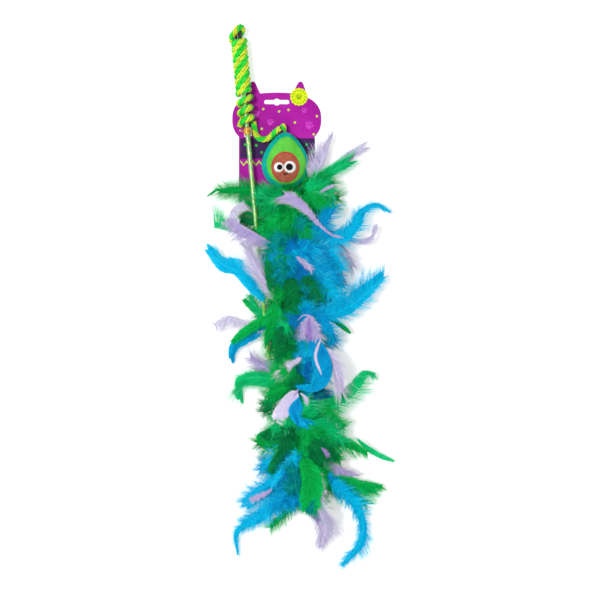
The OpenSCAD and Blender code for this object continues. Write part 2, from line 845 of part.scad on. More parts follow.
rod_tube();
rod_inner_cord();
handle_end_cap();
rod_tip_plug();
hang_loop();
handle_winding();
lead_hitches();
lead_rope();
lead_rope_end();
twist_tie();
header_card();
card_badge();
avocado_back_panel();
avocado_front_panel();
avocado_stuffing();
stone_patch();
eye(-1);  // eye_left
eye(1);  // eye_right
pupil(-1);  // pupil_left
pupil(1);  // pupil_right
smile_patch();
collar_green_feathers();
collar_lilac_feathers();
boa_end_binding();
for (k = [1 : 5]) {
    boa_core(k);
    boa_down(k);
    boa_green(k);
    boa_blue(k);
    boa_lilac(k);
}
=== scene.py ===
"""A cat teaser wand laid flat on a pale floor. A clear rod with a wound rope grip holds, by a
rope lead, a stuffed avocado and a feather boa, and a hang card is tied to it.
Sizes are in millimetres, as in the part's source, and become metres as each mesh is made."""

import math
from collections import namedtuple

import bpy
import numpy as np
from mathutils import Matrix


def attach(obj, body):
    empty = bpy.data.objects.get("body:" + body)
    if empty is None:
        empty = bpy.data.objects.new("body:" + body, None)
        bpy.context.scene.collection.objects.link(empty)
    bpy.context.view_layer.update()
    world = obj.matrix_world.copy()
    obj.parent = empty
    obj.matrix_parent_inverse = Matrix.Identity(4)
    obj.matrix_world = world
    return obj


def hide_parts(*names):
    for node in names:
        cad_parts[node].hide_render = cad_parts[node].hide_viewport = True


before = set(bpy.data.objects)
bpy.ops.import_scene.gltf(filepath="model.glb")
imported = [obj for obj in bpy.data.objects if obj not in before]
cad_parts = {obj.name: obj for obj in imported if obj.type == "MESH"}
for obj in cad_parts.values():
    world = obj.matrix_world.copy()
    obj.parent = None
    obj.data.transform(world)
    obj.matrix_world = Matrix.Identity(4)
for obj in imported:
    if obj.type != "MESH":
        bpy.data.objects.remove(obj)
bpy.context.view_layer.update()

MM = 0.001
UP = np.array([0.0, 0.0, 1.0])

# The rod leans across the photograph, and its axis lies level above the floor
ROD_LEAN = 5.4
ROD_Z = 11.6
ROD_RADIUS = 3.2
BORE_RADIUS = 2.3
ROD_TOP = 128
ROD_BOTTOM = -329
# Radius at the axis of a turned piece
AXIS = 0.01

# The loop's way across the cap's front and down its back: angle round the rod and share of its rise
GRIP_TOP = 116.9
LOOP_ORBIT = 7.4
LOOP_RISE = 14
LOOP_MIDDLE = -1.2
LOOP_STATIONS = [
    (180, -0.22), (180, -0.06), (172, 0.1), (155, 0.24), (135, 0.37), (112, 0.54), (90, 0.76), (68, 0.93),
    (46, 1), (22, 0.94), (0, 0.8), (-28, 0.64), (-55, 0.46), (-74, 0.3), (-85, 0.15), (-88, 0.05), (-88, 0),
]

# Windings on the rod: radius of the rope's middle, rise of a turn, number of turns, where the
# first starts along the rod, and how far the ends run out
GRIP = (6.6, 6.82, 9.5, 113.8, 6.2)
HITCHES = (7.1, 12.5, 2.5, 42.0, 7.2)

# Laid ropes: radius, length of one turn of the strands, the yarn of each strand, a strand's share
# of the rope's radius by their number, and the yarn map's size round a strand and along it
ROPE_RADIUS = 4.0
ROPE_LAY, LEAD_LAY = 17, 19
FOUR_STRANDS, THREE_STRANDS = [0, 0, 1, 1], [0, 0, 1]
STRAND_SHARE = {3: 0.54, 4: 0.42}
MAP_ROUND, MAP_ALONG = 2.4, 1.6
# Steps of a smooth line between two of its points
SMOOTHING = 24

# The boa hangs from here, turned a little, and bends between links of this length
BOA_TOP = np.array([51.0, -75.8, 0.0])
BOA_LEAN = 3.1
LINK_LENGTH = 79
LINKS = 5
CORE_Z = 26


# Colours and finishes

def linear_colour(red, green, blue):
    """A colour as it looks on a screen, 0 to 255, as linear light."""
    share = np.array([red, green, blue]) / 255
    linear = np.where(share <= 0.04045, share / 12.92, ((share + 0.055) / 1.055) ** 2.4)
    return (*[float(c) for c in linear], 1.0)


class Nodes:
    """Short ways to add and join the nodes of a material or a geometry tree."""

    def __init__(self, tree):
        self.tree = tree

    def add(self, kind, inputs=None, **settings):
        node = self.tree.nodes.new(kind)
        for name, value in settings.items():
            setattr(node, name, value)
        for key, value in (inputs or {}).items():
            self.join(value, node.inputs[key])
        return node

    def join(self, value, socket):
        if isinstance(value, bpy.types.NodeSocket):
            self.tree.links.new(value, socket)
        else:
            socket.default_value = value

    def maths(self, operation, *values, kind="ShaderNodeMath"):
        node = self.add(kind, operation=operation)
        for socket, value in zip(node.inputs, values):
            self.join(value, socket)
        return node.outputs[0]

    def vectors(self, operation, *values):
        return self.maths(operation, *values, kind="ShaderNodeVectorMath")

    def seen(self):
        """1 for a ray from the camera, a reflection or a clear piece, and 0 for light on a surface."""
        path = self.add("ShaderNodeLightPath").outputs
        beyond = self.maths("MAXIMUM", path["Is Glossy Ray"], path["Is Transmission Ray"])
        return self.maths("MAXIMUM", path["Is Camera Ray"], beyond)


class Finish(Nodes):
    """A material with its shader, whose plain values are given by socket name."""

    def __init__(self, name, values):
        self.material = bpy.data.materials.new(name)
        self.material.use_nodes = True
        super().__init__(self.material.node_tree)
        self.shader = self.tree.nodes["Principled BSDF"]
        for label, value in values.items():
            self.shader.inputs[label].default_value = value
        self.place = self.add("ShaderNodeTexCoord").outputs["Object"]

    def noise(self, scale, detail=3):
        inputs = {"Vector": self.place, "Scale": scale, "Detail": detail}
        return self.add("ShaderNodeTexNoise", inputs).outputs["Fac"]

    def blend(self, one, share, other):
        """A share of one pattern with the rest of another."""
        return self.maths("ADD", self.maths("MULTIPLY", one, share), self.maths("MULTIPLY", other, 1 - share))

    def ramp(self, factor, stops):
        node = self.add("ShaderNodeValToRGB", {"Fac": factor})
        elements = node.color_ramp.elements
        while len(elements) < len(stops):
            elements.new(0.5)
        for element, (position, colour) in zip(elements, stops):
            element.position = position
            element.color = colour
        return node.outputs["Color"]

    def colour(self, socket):
        self.join(socket, self.shader.inputs["Base Color"])

    def mottle(self, factor, *stops):
        """Colours the surface by a pattern, from each stop's colour to the next."""
        self.colour(self.ramp(factor, stops))

    def bump(self, height, distance):
        node = self.add("ShaderNodeBump", {"Height": height, "Distance": distance * MM, "Strength": 1.0})
        self.join(node.outputs["Normal"], self.shader.inputs["Normal"])


def darker(colour, share):
    return [c * share for c in colour[:3]] + [1.0]


def yarn(name, dark, middle, light):
    """Twisted yarn, whose fine threads follow the strand's own map; it is darker between the threads, painted
    shade, and paler on their crowns, painted highlight.
    """
    finish = Finish(name, {"Roughness": 0.6, "Specular IOR Level": 0.12})
    chart = finish.add("ShaderNodeUVMap", uv_map="strand").outputs[0]
    inputs = {"Vector": chart, "Scale": 1.0, "Distortion": 1.2, "Detail": 2, "Detail Scale": 1.5}
    waves = finish.add("ShaderNodeTexWave", inputs, wave_type="BANDS", bands_direction="DIAGONAL")
    threads = waves.outputs["Fac"]
    # Colour that follows the threads' bump: painted shade in the grooves and painted highlight on the crowns,
    # with random tone
    shade = finish.blend(threads, 0.55, finish.noise(160))
    finish.mottle(shade, (0.18, dark), (0.45, middle), (0.85, light))
    finish.bump(threads, 0.35)
    return finish.material


def moulded(name, colour, roughness, grain):
    """Moulded plastic with a faint grain."""
    finish = Finish(name, {"Roughness": roughness})
    finish.mottle(finish.noise(grain), (0.3, darker(colour, 0.7)), (0.7, colour))
    finish.bump(finish.noise(grain * 8), 0.03)
    return finish.material


def ink(name, colour):
    """Print on card, a little uneven."""
    finish = Finish(name, {"Roughness": 0.45, "Specular IOR Level": 0.12})
    finish.mottle(finish.noise(300), (0.35, darker(colour, 0.82)), (0.6, colour))
    return finish.material


def felt(name, dark, light, pile=0.25):
    """Brushed plush or felt, with its short pile as fine noise."""
    finish = Finish(name, {"Roughness": 0.9, "Specular IOR Level": 0.1})
    tuft = finish.noise(900, 4)
    finish.mottle(finish.blend(tuft, 0.6, finish.noise(90, 2)), (0.32, dark), (0.62, light))
    finish.bump(tuft, pile)
    return finish.material


def plumage(name):
    """Feather, whose colour each barb carries: its dye, with painted shade towards the roots and painted light
    towards the tips.
    """
    finish = Finish(name, {"Roughness": 0.6, "Specular IOR Level": 0.06})
    streak = finish.ramp(finish.noise(700, 2), [(0.25, (0.82, 0.82, 0.82, 1)), (0.75, (1.25, 1.25, 1.25, 1))])
    given_colour = finish.add("ShaderNodeAttribute", attribute_name="linear_colour").outputs["Color"]
    both = finish.add("ShaderNodeMix", data_type="RGBA", blend_type="MULTIPLY")
    for socket, value in ((0, 1.0), (6, given_colour), (7, streak)):
        finish.join(value, both.inputs[socket])
    finish.colour(both.outputs[2])
    return finish.material


# Meshes

def piece(name, points, faces, materials, body, *nodes, slot=None, smooth=True, indices=None):
    """A mesh piece from points in millimetres, which rides on a body and replaces CAD nodes."""
    mesh = bpy.data.meshes.new(name)
    mesh.from_pydata((np.asarray(points, float) * MM).tolist(), [], [list(map(int, f)) for f in faces])
    for material in materials:
        mesh.materials.append(material)
    if indices is not None:
        mesh.polygons.foreach_set("material_index", np.asarray(indices, np.int32))
    if smooth:
        mesh.polygons.foreach_set("use_smooth", np.ones(len(mesh.polygons), bool))
    mesh.validate()
    return carried(name, mesh, body, nodes)


def carried(name, mesh, body, nodes=()):
    thing = bpy.data.objects.new(name, mesh)
    bpy.context.scene.collection.objects.link(thing)
    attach(thing, body)
    if nodes:
        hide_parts(*nodes)
    return thing


def unit(vectors):
    return vectors / np.maximum(np.linalg.norm(vectors, axis=-1, keepdims=True), 1e-9)


def travel(line):
    """Distance along a line at each of its points."""
    return np.concatenate([[0], np.cumsum(np.linalg.norm(np.diff(line, axis=0), axis=1))])


def smooth_line(points, count):
    """Points evenly spaced along a smooth curve through the given ones."""
    points = np.asarray(points, float)
    padded = np.vstack([2 * points[0] - points[1], points, 2 * points[-1] - points[-2]])
    t = np.linspace(0, 1, SMOOTHING, endpoint=False)[:, None]
    fine = []
    for i in range(len(points) - 1):
        a, b, c, d = padded[i:i + 4]
        square, cube = (2 * a - 5 * b + 4 * c - d) * t**2, (3 * b - a - 3 * c + d) * t**3
        fine.append(0.5 * (2 * b + (c - a) * t + square + cube))
    fine = np.vstack(fine + [points[-1:]])
    reach = travel(fine)
    stops = np.linspace(0, reach[-1], count)
    return np.stack([np.interp(stops, reach, fine[:, k]) for k in range(3)], axis=1)


def circle(sides):
    """Angles round a circle."""
    return np.linspace(0, 2 * math.pi, sides, endpoint=False)


def spun(x, y, degrees):
    """Places turned about the vertical."""
    a = math.radians(degrees)
    return x * math.cos(a) - y * math.sin(a), x * math.sin(a) + y * math.cos(a)


def crosswise(line):
    """Two directions across a line at each point, with no twist along it."""
    tangents = unit(np.gradient(line, axis=0))
    across = np.empty_like(tangents)
    across[0] = unit(np.cross(tangents[0], UP if abs(tangents[0][2]) < 0.9 else np.array([1.0, 0, 0])))
    for i in range(1, len(line)):
        across[i] = unit(across[i - 1] - tangents[i] * np.dot(across[i - 1], tangents[i]))
    return across, np.cross(tangents, across)


def bands(rings, sides, first=0, over=False):
    """Faces between rings of points that follow one another; over turns the faces over."""
    faces = []
    for i in range(rings - 1):
        for j in range(sides):
            here, beside = first + i * sides + j, first + i * sides + (j + 1) % sides
            ahead = [here + sides, beside + sides]
            faces.append([here, *ahead, beside] if over else [here, beside, *ahead[::-1]])
    return faces


def roll(rings, sides, first=0):
    """Faces of a roll that is closed at both ends."""
    last = first + (rings - 1) * sides
    ends = [[first + j for j in reversed(range(sides))], [last + j for j in range(sides)]]
    return bands(rings, sides, first) + ends


def dome(rings, sides):
    """Faces of a closed form: a first point, rings round it, and a last point."""
    last = 1 + rings * sides
    base = last - sides
    top = [[0, 1 + j, 1 + (j + 1) % sides] for j in range(sides)]
    under = [[last, base + (j + 1) % sides, base + j] for j in range(sides)]
    return top + bands(rings, sides, 1, over=True) + under


def tube(line, radii, sides, first=0, closed=True):
    """Points and faces of a round tube along a line."""
    across, over = crosswise(line)
    angles = circle(sides)
    ring = np.cos(angles)[None, :, None] * across[:, None] + np.sin(angles)[None, :, None] * over[:, None]
    radii = np.broadcast_to(radii, len(line))
    points = (line[:, None] + radii[:, None, None] * ring).reshape(-1, 3)
    return points, (roll if closed else bands)(len(line), sides, first)


def rope(name, line, radius, lay, tints, body, *nodes, slot, sides=8, shape=None, step=0.8):
    """A laid rope: its strands wind round the line once in each lay, left-handed as in the photograph."""
    line = smooth_line(line, max(8, int(travel(np.asarray(line, float))[-1] / step)))
    across, over = crosswise(line)
    along = travel(line)
    size = np.ones(len(line)) if shape is None else shape(along / along[-1])
    thick = radius * STRAND_SHARE[len(tints)]
    points, faces, indices = [], [], []
    for k, tint in enumerate(tints):
        turn = 2 * math.pi * (k / len(tints) - along / lay)
        offset = (radius - thick) * size
        strand = line + offset[:, None] * (np.cos(turn)[:, None] * across + np.sin(turn)[:, None] * over)
        own, wall = tube(strand, thick * size, sides, first=k * len(line) * sides)
        points.append(own)
        faces += wall
        indices += [tint] * len(wall)
    thing = piece(name, np.vstack(points), faces, YARNS, body, *nodes, slot=slot, indices=indices)
    chart = [np.tile(np.arange(sides) / sides * MAP_ROUND, len(line)), np.repeat(along / MAP_ALONG, sides)]
    chart = np.tile(np.stack(chart, axis=1), (len(tints), 1))
    layer = thing.data.uv_layers.new(name="strand")
    corners = np.empty(len(thing.data.loops), np.int32)
    thing.data.loops.foreach_get("vertex_index", corners)
    layer.data.foreach_set("uv", chart[corners].astype(np.float32).ravel())
    return thing


def on_rod(points):
    """Points given across, along and above the rod's axis, put where the rod lies."""
    x, y, z = np.moveaxis(np.asarray(points, float), -1, 0)
    return np.stack([*spun(x, y, ROD_LEAN), z + ROD_Z], axis=-1)


def turned(profile, sides=40):
    """A solid turned about the rod's axis from (radius, place along the rod) pairs, run from end to end."""
    points = [[r * math.cos(a), y, r * math.sin(a)] for r, y in profile for a in circle(sides)]
    return on_rod(points), bands(len(profile), sides, over=True)


def rounded(corners, radius, steps=5):
    """A profile with its inner corners rounded."""
    out = [corners[0]]
    for before, at, after in zip(corners, corners[1:], corners[2:]):
        b, a, c = (np.array(p, float) for p in (before, at, after))
        reach = min(radius, np.linalg.norm(b - a) / 2.01, np.linalg.norm(c - a) / 2.01)
        start, end = a + unit(b - a) * reach, a + unit(c - a) * reach
        for t in np.linspace(0, 1, steps):
            out.append(tuple((1 - t) ** 2 * start + 2 * t * (1 - t) * a + t**2 * end))
    return out + [corners[-1]]


# Camera, floor and light, in metres and degrees; the sky lights by its share and is seen as white

CAMERA_PLACE = (0.06655, -0.21336, 2.4)
CAMERA_LENS = 113.4
FLOOR_REACH, FLOOR_Z, FLOOR_GLOW = 4, -0.0004, 0.5
SKY_LIGHT = 0.55
SUN_POWER, SUN_WIDTH, SUN_TURN = 1.75, 10, (-3, -24, 0)


def set_stage():
    scene = bpy.context.scene
    scene.view_settings.view_transform = "Standard"
    camera = bpy.data.objects.new("camera", bpy.data.cameras.new("camera"))
    camera.data.lens = CAMERA_LENS
    camera.data.sensor_width = 36
    camera.data.clip_end = 20
    camera.location = CAMERA_PLACE
    scene.collection.objects.link(camera)
    scene.camera = camera

    corners = [(x * FLOOR_REACH, y * FLOOR_REACH, FLOOR_Z) for x, y in ((-1, -1), (1, -1), (1, 1), (-1, 1))]
    floor_mesh = bpy.data.meshes.new("floor")
    floor_mesh.from_pydata(corners, [], [(0, 1, 2, 3)])
    floor = bpy.data.objects.new("floor", floor_mesh)
    scene.collection.objects.link(floor)
    pale = (0.8, 0.8, 0.8, 1)
    finish = Finish("pale_floor", {"Base Color": pale, "Roughness": 0.9, "Specular IOR Level": 0.1})
    finish.join((1, 1, 1, 1), finish.shader.inputs["Emission Color"])
    glow = finish.maths("MULTIPLY", finish.seen(), FLOOR_GLOW)
    finish.join(glow, finish.shader.inputs["Emission Strength"])
    floor_mesh.materials.append(finish.material)

    world = bpy.data.worlds.new("world")
    scene.world = world
    world.use_nodes = True
    sky = Nodes(world.node_tree)
    back = world.node_tree.nodes["Background"]
    back.inputs["Color"].default_value = (1, 1, 1, 1)
    light = sky.maths("ADD", SKY_LIGHT, sky.maths("MULTIPLY", sky.seen(), 1 - SKY_LIGHT))
    sky.join(light, back.inputs["Strength"])

    sun = bpy.data.objects.new("sun", bpy.data.lights.new("sun", "SUN"))
    sun.data.energy = SUN_POWER
    sun.data.angle = math.radians(SUN_WIDTH)
    sun.rotation_euler = [math.radians(a) for a in SUN_TURN]
    scene.collection.objects.link(sun)


set_stage()

YARNS = [
    yarn("green_yarn", linear_colour(0, 208, 24), linear_colour(0, 255, 48), linear_colour(110, 255, 120)),
    yarn("lime_yarn", linear_colour(204, 240, 0), linear_colour(236, 255, 24), linear_colour(255, 255, 130)),
]

# The lead, which is the one free cord: the same route as in the part's source
LEAD_ROUTE = [
    [7.4, 12.6, 5], [7.9, 9.4, 5], [8.4, 6.2, 5], [8.9, 3, 5], [9.4, 0, 5], [10.3, -3.2, 5],
    [12, -5.8, 5], [14.4, -8.1, 5], [17.6, -9.5, 5], [21.2, -9.9, 5], [24.8, -9.2, 5],
    [28, -7.6, 5.2], [31, -5, 5.8], [34, -2.1, 6.9], [37, 0.6, 8.3], [39.6, 2.6, 9.5],
    [41.7, 3.9, 10.2],
]
lead = rope("lead_rope_laid", LEAD_ROUTE, ROPE_RADIUS, LEAD_LAY, FOUR_STRANDS, "wand", "lead_rope",
            slot="two_green_rope", step=0.5)


# Rod, grip, loop and hitches

def wound(orbit, rise, turns, top, run_out):
    """Route of a rope wound on the rod from the right, with both ends run out straight."""
    a = np.linspace(0, 360 * turns, int(24 * turns) + 1)
    r = np.radians(a)
    route = np.stack([orbit * np.cos(r), top - rise * a / 360, orbit * np.sin(r)], axis=1)
    start = unit(route[0] - route[1]) * run_out
    end = unit(route[-1] - route[-2]) * run_out
    return on_rod(np.vstack([route[0] + start, route, route[-1] + end]))


def make_handle():
    turn, rise = np.array(LOOP_STATIONS, float).T
    turn = np.radians(turn)
    loop = np.stack([LOOP_ORBIT * np.cos(turn) + LOOP_MIDDLE, GRIP_TOP + 0.3 + LOOP_RISE * rise,
                     LOOP_ORBIT * np.sin(turn)], axis=1)
    for name, node, route in (("grip_rope", "handle_winding", wound(*GRIP)),
                              ("hitch_rope", "lead_hitches", wound(*HITCHES)),
                              ("loop_rope", "hang_loop", on_rod(loop))):
        rope(name, route, ROPE_RADIUS, ROPE_LAY, FOUR_STRANDS, "wand", node, slot="two_green_rope", sides=7)
    core = [[0, y, 0] for y in np.linspace(ROD_TOP - 1, ROD_BOTTOM + 7, 12)]
    rope("core_of_rod", on_rod(core), BORE_RADIUS - 0.15, 13, FOUR_STRANDS, "wand", "rod_inner_cord",
         slot="two_green_cord")

    # The coat over the thin, see-through wall gives the rod its bright line
    glass = Finish("clear_tube", {"Roughness": 0.2, "Alpha": 0.2, "Specular IOR Level": 1.0,
                                  "Coat Weight": 1.0, "Coat Roughness": 0.12, "Coat IOR": 2.3})
    # The clear wall's lime tint is painted: it stands for the green cord seen through the wall
    glass.mottle(glass.noise(40), (0.4, linear_colour(150, 255, 120)), (0.7, linear_colour(200, 255, 150)))
    wall = rounded([(BORE_RADIUS, ROD_BOTTOM), (ROD_RADIUS, ROD_BOTTOM), (ROD_RADIUS, ROD_TOP),
                    (BORE_RADIUS, ROD_TOP)], 0.3)
    piece("tube_wall", *turned(wall + [wall[0]]), [glass.material], "wand", "rod_tube", slot="clear_tube")

    black = moulded("black_cap", linear_colour(24, 24, 26), 0.38, 60)
    bore, outside, mouth, top = ROD_RADIUS + 0.1, 4.6, GRIP_TOP + 0.6, ROD_TOP + 1.5
    cap = rounded([(AXIS, top), (outside, top), (outside, mouth), (bore, mouth), (bore, ROD_TOP),
                   (AXIS, ROD_TOP)], 2.4)
    piece("cap", *turned(cap), [black], "wand", "handle_end_cap", slot="black_cap")
    clear = moulded("tip_plug", linear_colour(225, 240, 225), 0.3, 80)
    end, neck, inside = ROD_BOTTOM - 1.2, BORE_RADIUS - 0.05, ROD_BOTTOM + 6.6
    plug = rounded([(AXIS, end), (ROD_RADIUS, end), (ROD_RADIUS, ROD_BOTTOM), (neck, ROD_BOTTOM),
                    (neck, inside), (AXIS, inside)], 0.5)
    piece("tip_stopper", *turned(plug[::-1]), [clear], "wand", "rod_tip_plug", slot="tip_plug")


make_handle()


# The twist tie: half its width across the rod, its width along it, and rows of points over that;
# its tail's lean from the vertical and aside, radius, sides, and the row where the wire is bare
TIE_HALF, TIE_WIDTH, TIE_ROWS = 3.5, 9.0, 19
TAIL_WAY, TAIL_RADIUS, TAIL_SIDES, BARE_FROM = (-100, -20), 0.55, 8, 33


def make_lead_end():
    """The lead's last bit, which narrows to where it is sewn to the avocado."""
    swing, stitch = np.array([45.5, 5.8, 10.6]), np.array([47.5, 1.0, 11.2])
    way = unit(stitch - swing)
    line = [swing + way * s for s in (-3.4, -1.6, 0, 1.7)] + [stitch + way * s for s in (-1.2, 1.6)]
    places, sizes = [0, 0.1, 0.3, 0.5, 0.75, 0.93, 1], [0.5, 0.82, 0.95, 0.86, 0.6, 0.5, 0.3]
    rope("lead_rope_stub", line, 3.9, 24, FOUR_STRANDS, "rope_end", "lead_rope_end", slot="two_green_rope",
         shape=lambda t: np.interp(t, places, sizes), step=0.4)


def make_tie():
    """A crinkled gold twist tie over the rod, whose legs go down through the card."""
    foil = Finish("twist_tie_foil", {"Roughness": 0.32, "Metallic": 0.35})
    crease = foil.noise(500, 2)
    foil.mottle(crease, (0.3, linear_colour(150, 92, 10)), (0.55, linear_colour(218, 152, 30)), (0.8, linear_colour(250, 205, 90)))
    foil.bump(crease, 0.5)
    leg = [(TIE_HALF, -ROD_Z * 0.5), (TIE_HALF, -ROD_Z + 0.2)]
    arch = [(-TIE_HALF * math.cos(a), TIE_HALF * math.sin(a)) for a in np.linspace(0, math.pi, 17)]
    section = [(-x, z) for x, z in reversed(leg)] + arch + leg
    end, edge = TIE_ROWS - 1, len(section) - 1
    points = []
    for outer in (0, 1):
        for i in range(TIE_ROWS):
            y = TIE_WIDTH / 2 - TIE_WIDTH * i / end
            for n, (x, z) in enumerate(section):
                crinkle = 0.16 * math.sin(2.3 * i + 0.9 * n) + 0.10 * math.sin(5.1 * i - 1.7 * n)
                grow = (0.62 * outer + 0.08 + crinkle * 0.5) if n not in (0, edge) else 0.6 * outer
                normal = unit(np.array([x, z])) if z > 0 else np.array([math.copysign(1, x), 0.0])
                points.append([x + normal[0] * grow, y * (1 - 0.05 * math.sin(1.3 * n)), z + normal[1] * grow])
    quad = lambda *corners: [(outer * TIE_ROWS + i) * (edge + 1) + n for outer, i, n in corners]
    faces = []
    for i in range(end):
        for n in range(edge):
            faces.append(quad((1, i, n), (1, i + 1, n), (1, i + 1, n + 1), (1, i, n + 1)))
            faces.append(quad((0, i, n), (0, i, n + 1), (0, i + 1, n + 1), (0, i + 1, n)))
    for n in range(edge):
        faces.append(quad((0, 0, n), (1, 0, n), (1, 0, n + 1), (0, 0, n + 1)))
        faces.append(quad((0, end, n), (0, end, n + 1), (1, end, n + 1), (1, end, n)))
    for i in range(end):
        faces.append(quad((0, i, 0), (0, i + 1, 0), (1, i + 1, 0), (1, i, 0)))
        faces.append(quad((0, i, edge), (1, i, edge), (1, i + 1, edge), (0, i + 1, edge)))
    piece("tie_band", on_rod(points), faces, [foil.material], "wand", slot="twist_tie")

    # The tail: two ends of the tie twisted together, whose last bit shows its pale wire
    pale = moulded("tie_wire_end", linear_colour(236, 232, 240), 0.35, 120)
    dip, aside = (math.radians(a) for a in TAIL_WAY)
    way = np.array([math.sin(dip) * math.cos(aside), math.sin(dip) * math.sin(aside), math.cos(dip)])
    side = unit(np.cross(way, UP))
    over = np.cross(side, way)
    s = np.linspace(-0.6, 6.4, 44)
    points, faces, indices = [], [], []
    for k in range(2):
        turn = math.pi * k + s * 1.9
        coil = np.cos(turn)[:, None] * side + np.sin(turn)[:, None] * over
        line = np.array([-TIE_HALF - 0.4, 0, 0]) + s[:, None] * way + TAIL_RADIUS * coil
        own, wall = tube(line, TAIL_RADIUS, TAIL_SIDES, first=k * len(s) * TAIL_SIDES)
        points.append(own)
        faces += wall
        indices += [int(f[0] % (len(s) * TAIL_SIDES) > BARE_FROM * TAIL_SIDES) for f in wall]
    piece("tie_tail", on_rod(np.vstack(points)), faces, [foil.material, pale], "wand", "twist_tie",
          slot="twist_tie", indices=indices)


# Hang card: the printed board is the CAD piece, and its print lies on it as thin flat shapes

CARD_TOP = 0.6
PRINT_Z = CARD_TOP + 0.05
BADGE, BADGE_Z = np.array([65.25, 44.56]), 0.85


def disc(centre, across, along, turn=0, sides=28):
    a = circle(sides)
    return np.stack(spun(across * np.cos(a), along * np.sin(a), turn), axis=1) + centre


def paw(centre, size, turn=0):
    """A paw print: one pad and four toes."""
    toes = ((-0.62, 0.22, 25), (-0.24, 0.56, 8), (0.24, 0.56, -8), (0.62, 0.22, -25))
    shapes = [disc((0, -0.25), 0.52, 0.42)] + [disc((x, y), 0.2, 0.27, lean) for x, y, lean in toes]
    return [np.stack(spun(*(size * shape.T), turn), axis=1) + centre for shape in shapes]


def print_on(name, shapes, material, height=PRINT_Z, slot="printed_card"):
    """Flat printed shapes a hair above the board."""
    points, faces = [], []
    for shape in shapes:
        first, n = len(points), len(shape)
        points += [[x, y, height - sink] for sink in (0, 0.04) for x, y in shape]
        faces.append(list(range(first, first + n)))
        faces.append(list(range(first + 2 * n - 1, first + n - 1, -1)))
        faces += [[first + i, first + n + i, first + n + (i + 1) % n, first + (i + 1) % n] for i in range(n)]
    return piece(name, points, faces, [material], "card", slot=slot, smooth=False)


def recoat(node, finish):
    """Gives another finish to a CAD piece that is shown as it is."""
    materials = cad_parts[node].data.materials
    materials.clear()
    materials.append(finish.material)


def make_card():
    board = Finish("printed_board", {"Roughness": 0.45, "Specular IOR Level": 0.15})
    fade = board.noise(22, 2)
    board.mottle(fade, (0.3, linear_colour(160, 0, 150)), (0.5, linear_colour(176, 4, 162)), (0.7, linear_colour(190, 24, 176)))
    board.bump(board.noise(2500), 0.01)
    recoat("header_card", board)

    lime = ink("lime_print", linear_colour(196, 245, 20))
    # A dark band across the neck of the card, with a zigzag under it
    band = [[[-9.5, -8], [85.5, -8], [85.5, -34], [-9.5, -34]]]
    print_on("card_band", band, ink("dark_print", linear_colour(66, 30, 92)))
    half, low, high, thick = 3.95, -41, -36, 2.4
    zigzag = []
    for n in range(12):
        x = -9 + n * 2 * half
        top = [[x, high], [x + half, low], [x + 2 * half, high]]
        zigzag.append(top + [[across, along - thick] for across, along in top[::-1]])
    print_on("card_zigzag", zigzag, lime)
    paws = (((10, 22), 7.5, 18), ((29, 12), 5.5, -12), ((78, 8), 6.5, -24), ((-2, 2), 5, 34),
            ((72, 27), 4.5, 12))
    rose = ink("rose_print", linear_colour(214, 70, 200))
    print_on("card_paws", [shape for place in paws for shape in paw(*place)], rose)
    dots = ((20, 29), (-8, 18), (52, 28), (60, 12), (88, 20), (18, 4), (-12, 8), (84, -3), (40, 26))
    print_on("card_dots", [disc(place, 1.5, 1.5, sides=16) for place in dots], lime)
    specks = ((-3, -16), (4, -26), (11, -17), (18, -26), (75, -16), (82, -25))
    print_on("card_specks", [disc(place, 1.7, 1.7, sides=16) for place in specks],
             ink("green_print", linear_colour(40, 200, 60)), CARD_TOP + 0.09)

    paper = Finish("badge_paper", {"Roughness": 0.4, "Specular IOR Level": 0.15})
    paper.mottle(paper.noise(120), (0.35, linear_colour(214, 236, 0)), (0.65, linear_colour(236, 248, 30)))
    recoat("card_badge", paper)
    olive = ink("badge_print", linear_colour(150, 190, 0))
    ring = [disc(place, 1.0, 1.0, sides=10) for place in disc(BADGE, 8.2, 8.2, sides=14)]
    print_on("badge_ring", ring, olive, BADGE_Z, "badge_paper")
    print_on("badge_paw", paw(BADGE - [0, 0.16], 5), olive, BADGE_Z, "badge_paper")


# The avocado

AVOCADO = np.array([48.0, -41.62])
SEAM_Z = 11.2
FRONT, BACK = 11.0, 7.0
HALF_WIDTH, UPPER, LOWER, TAPER = 30, 40.32, 31.68, 0.3
STONE, STONE_SIZE = np.array([48.0, -45.94]), (17, 18.5)
# Each eye: its place from the stone's middle, its radius, its pupil's shift aside, and the pupil's radius
EYES = (("left", (-8.1, -0.4), 6.3, 1.1, 3.6), ("right", (5.9, -0.1), 7.7, -0.7, 4.6))


def outline(a):
    """Half outline of the fruit at angles from its widest height."""
    s = np.sin(a)
    across = HALF_WIDTH * np.cos(a) * (1 - TAPER * np.maximum(0, s) ** 1.5)
    return np.stack([across, np.where(s > 0, UPPER, LOWER) * s], axis=-1)


def front_z(x, y):
    """Height of the stuffed front at a place on it."""
    x, y = np.asarray(x, float) - AVOCADO[0], np.asarray(y, float) - AVOCADO[1]
    v = y / np.where(y > 0, UPPER, LOWER)
    share = 1 - TAPER * np.clip(v, 0, 1) ** 1.5
    r = np.sqrt((x / (HALF_WIDTH * share)) ** 2 + v**2)
    return SEAM_Z + FRONT * np.maximum(0, 1 - np.minimum(r, 1) ** 2) ** 0.6


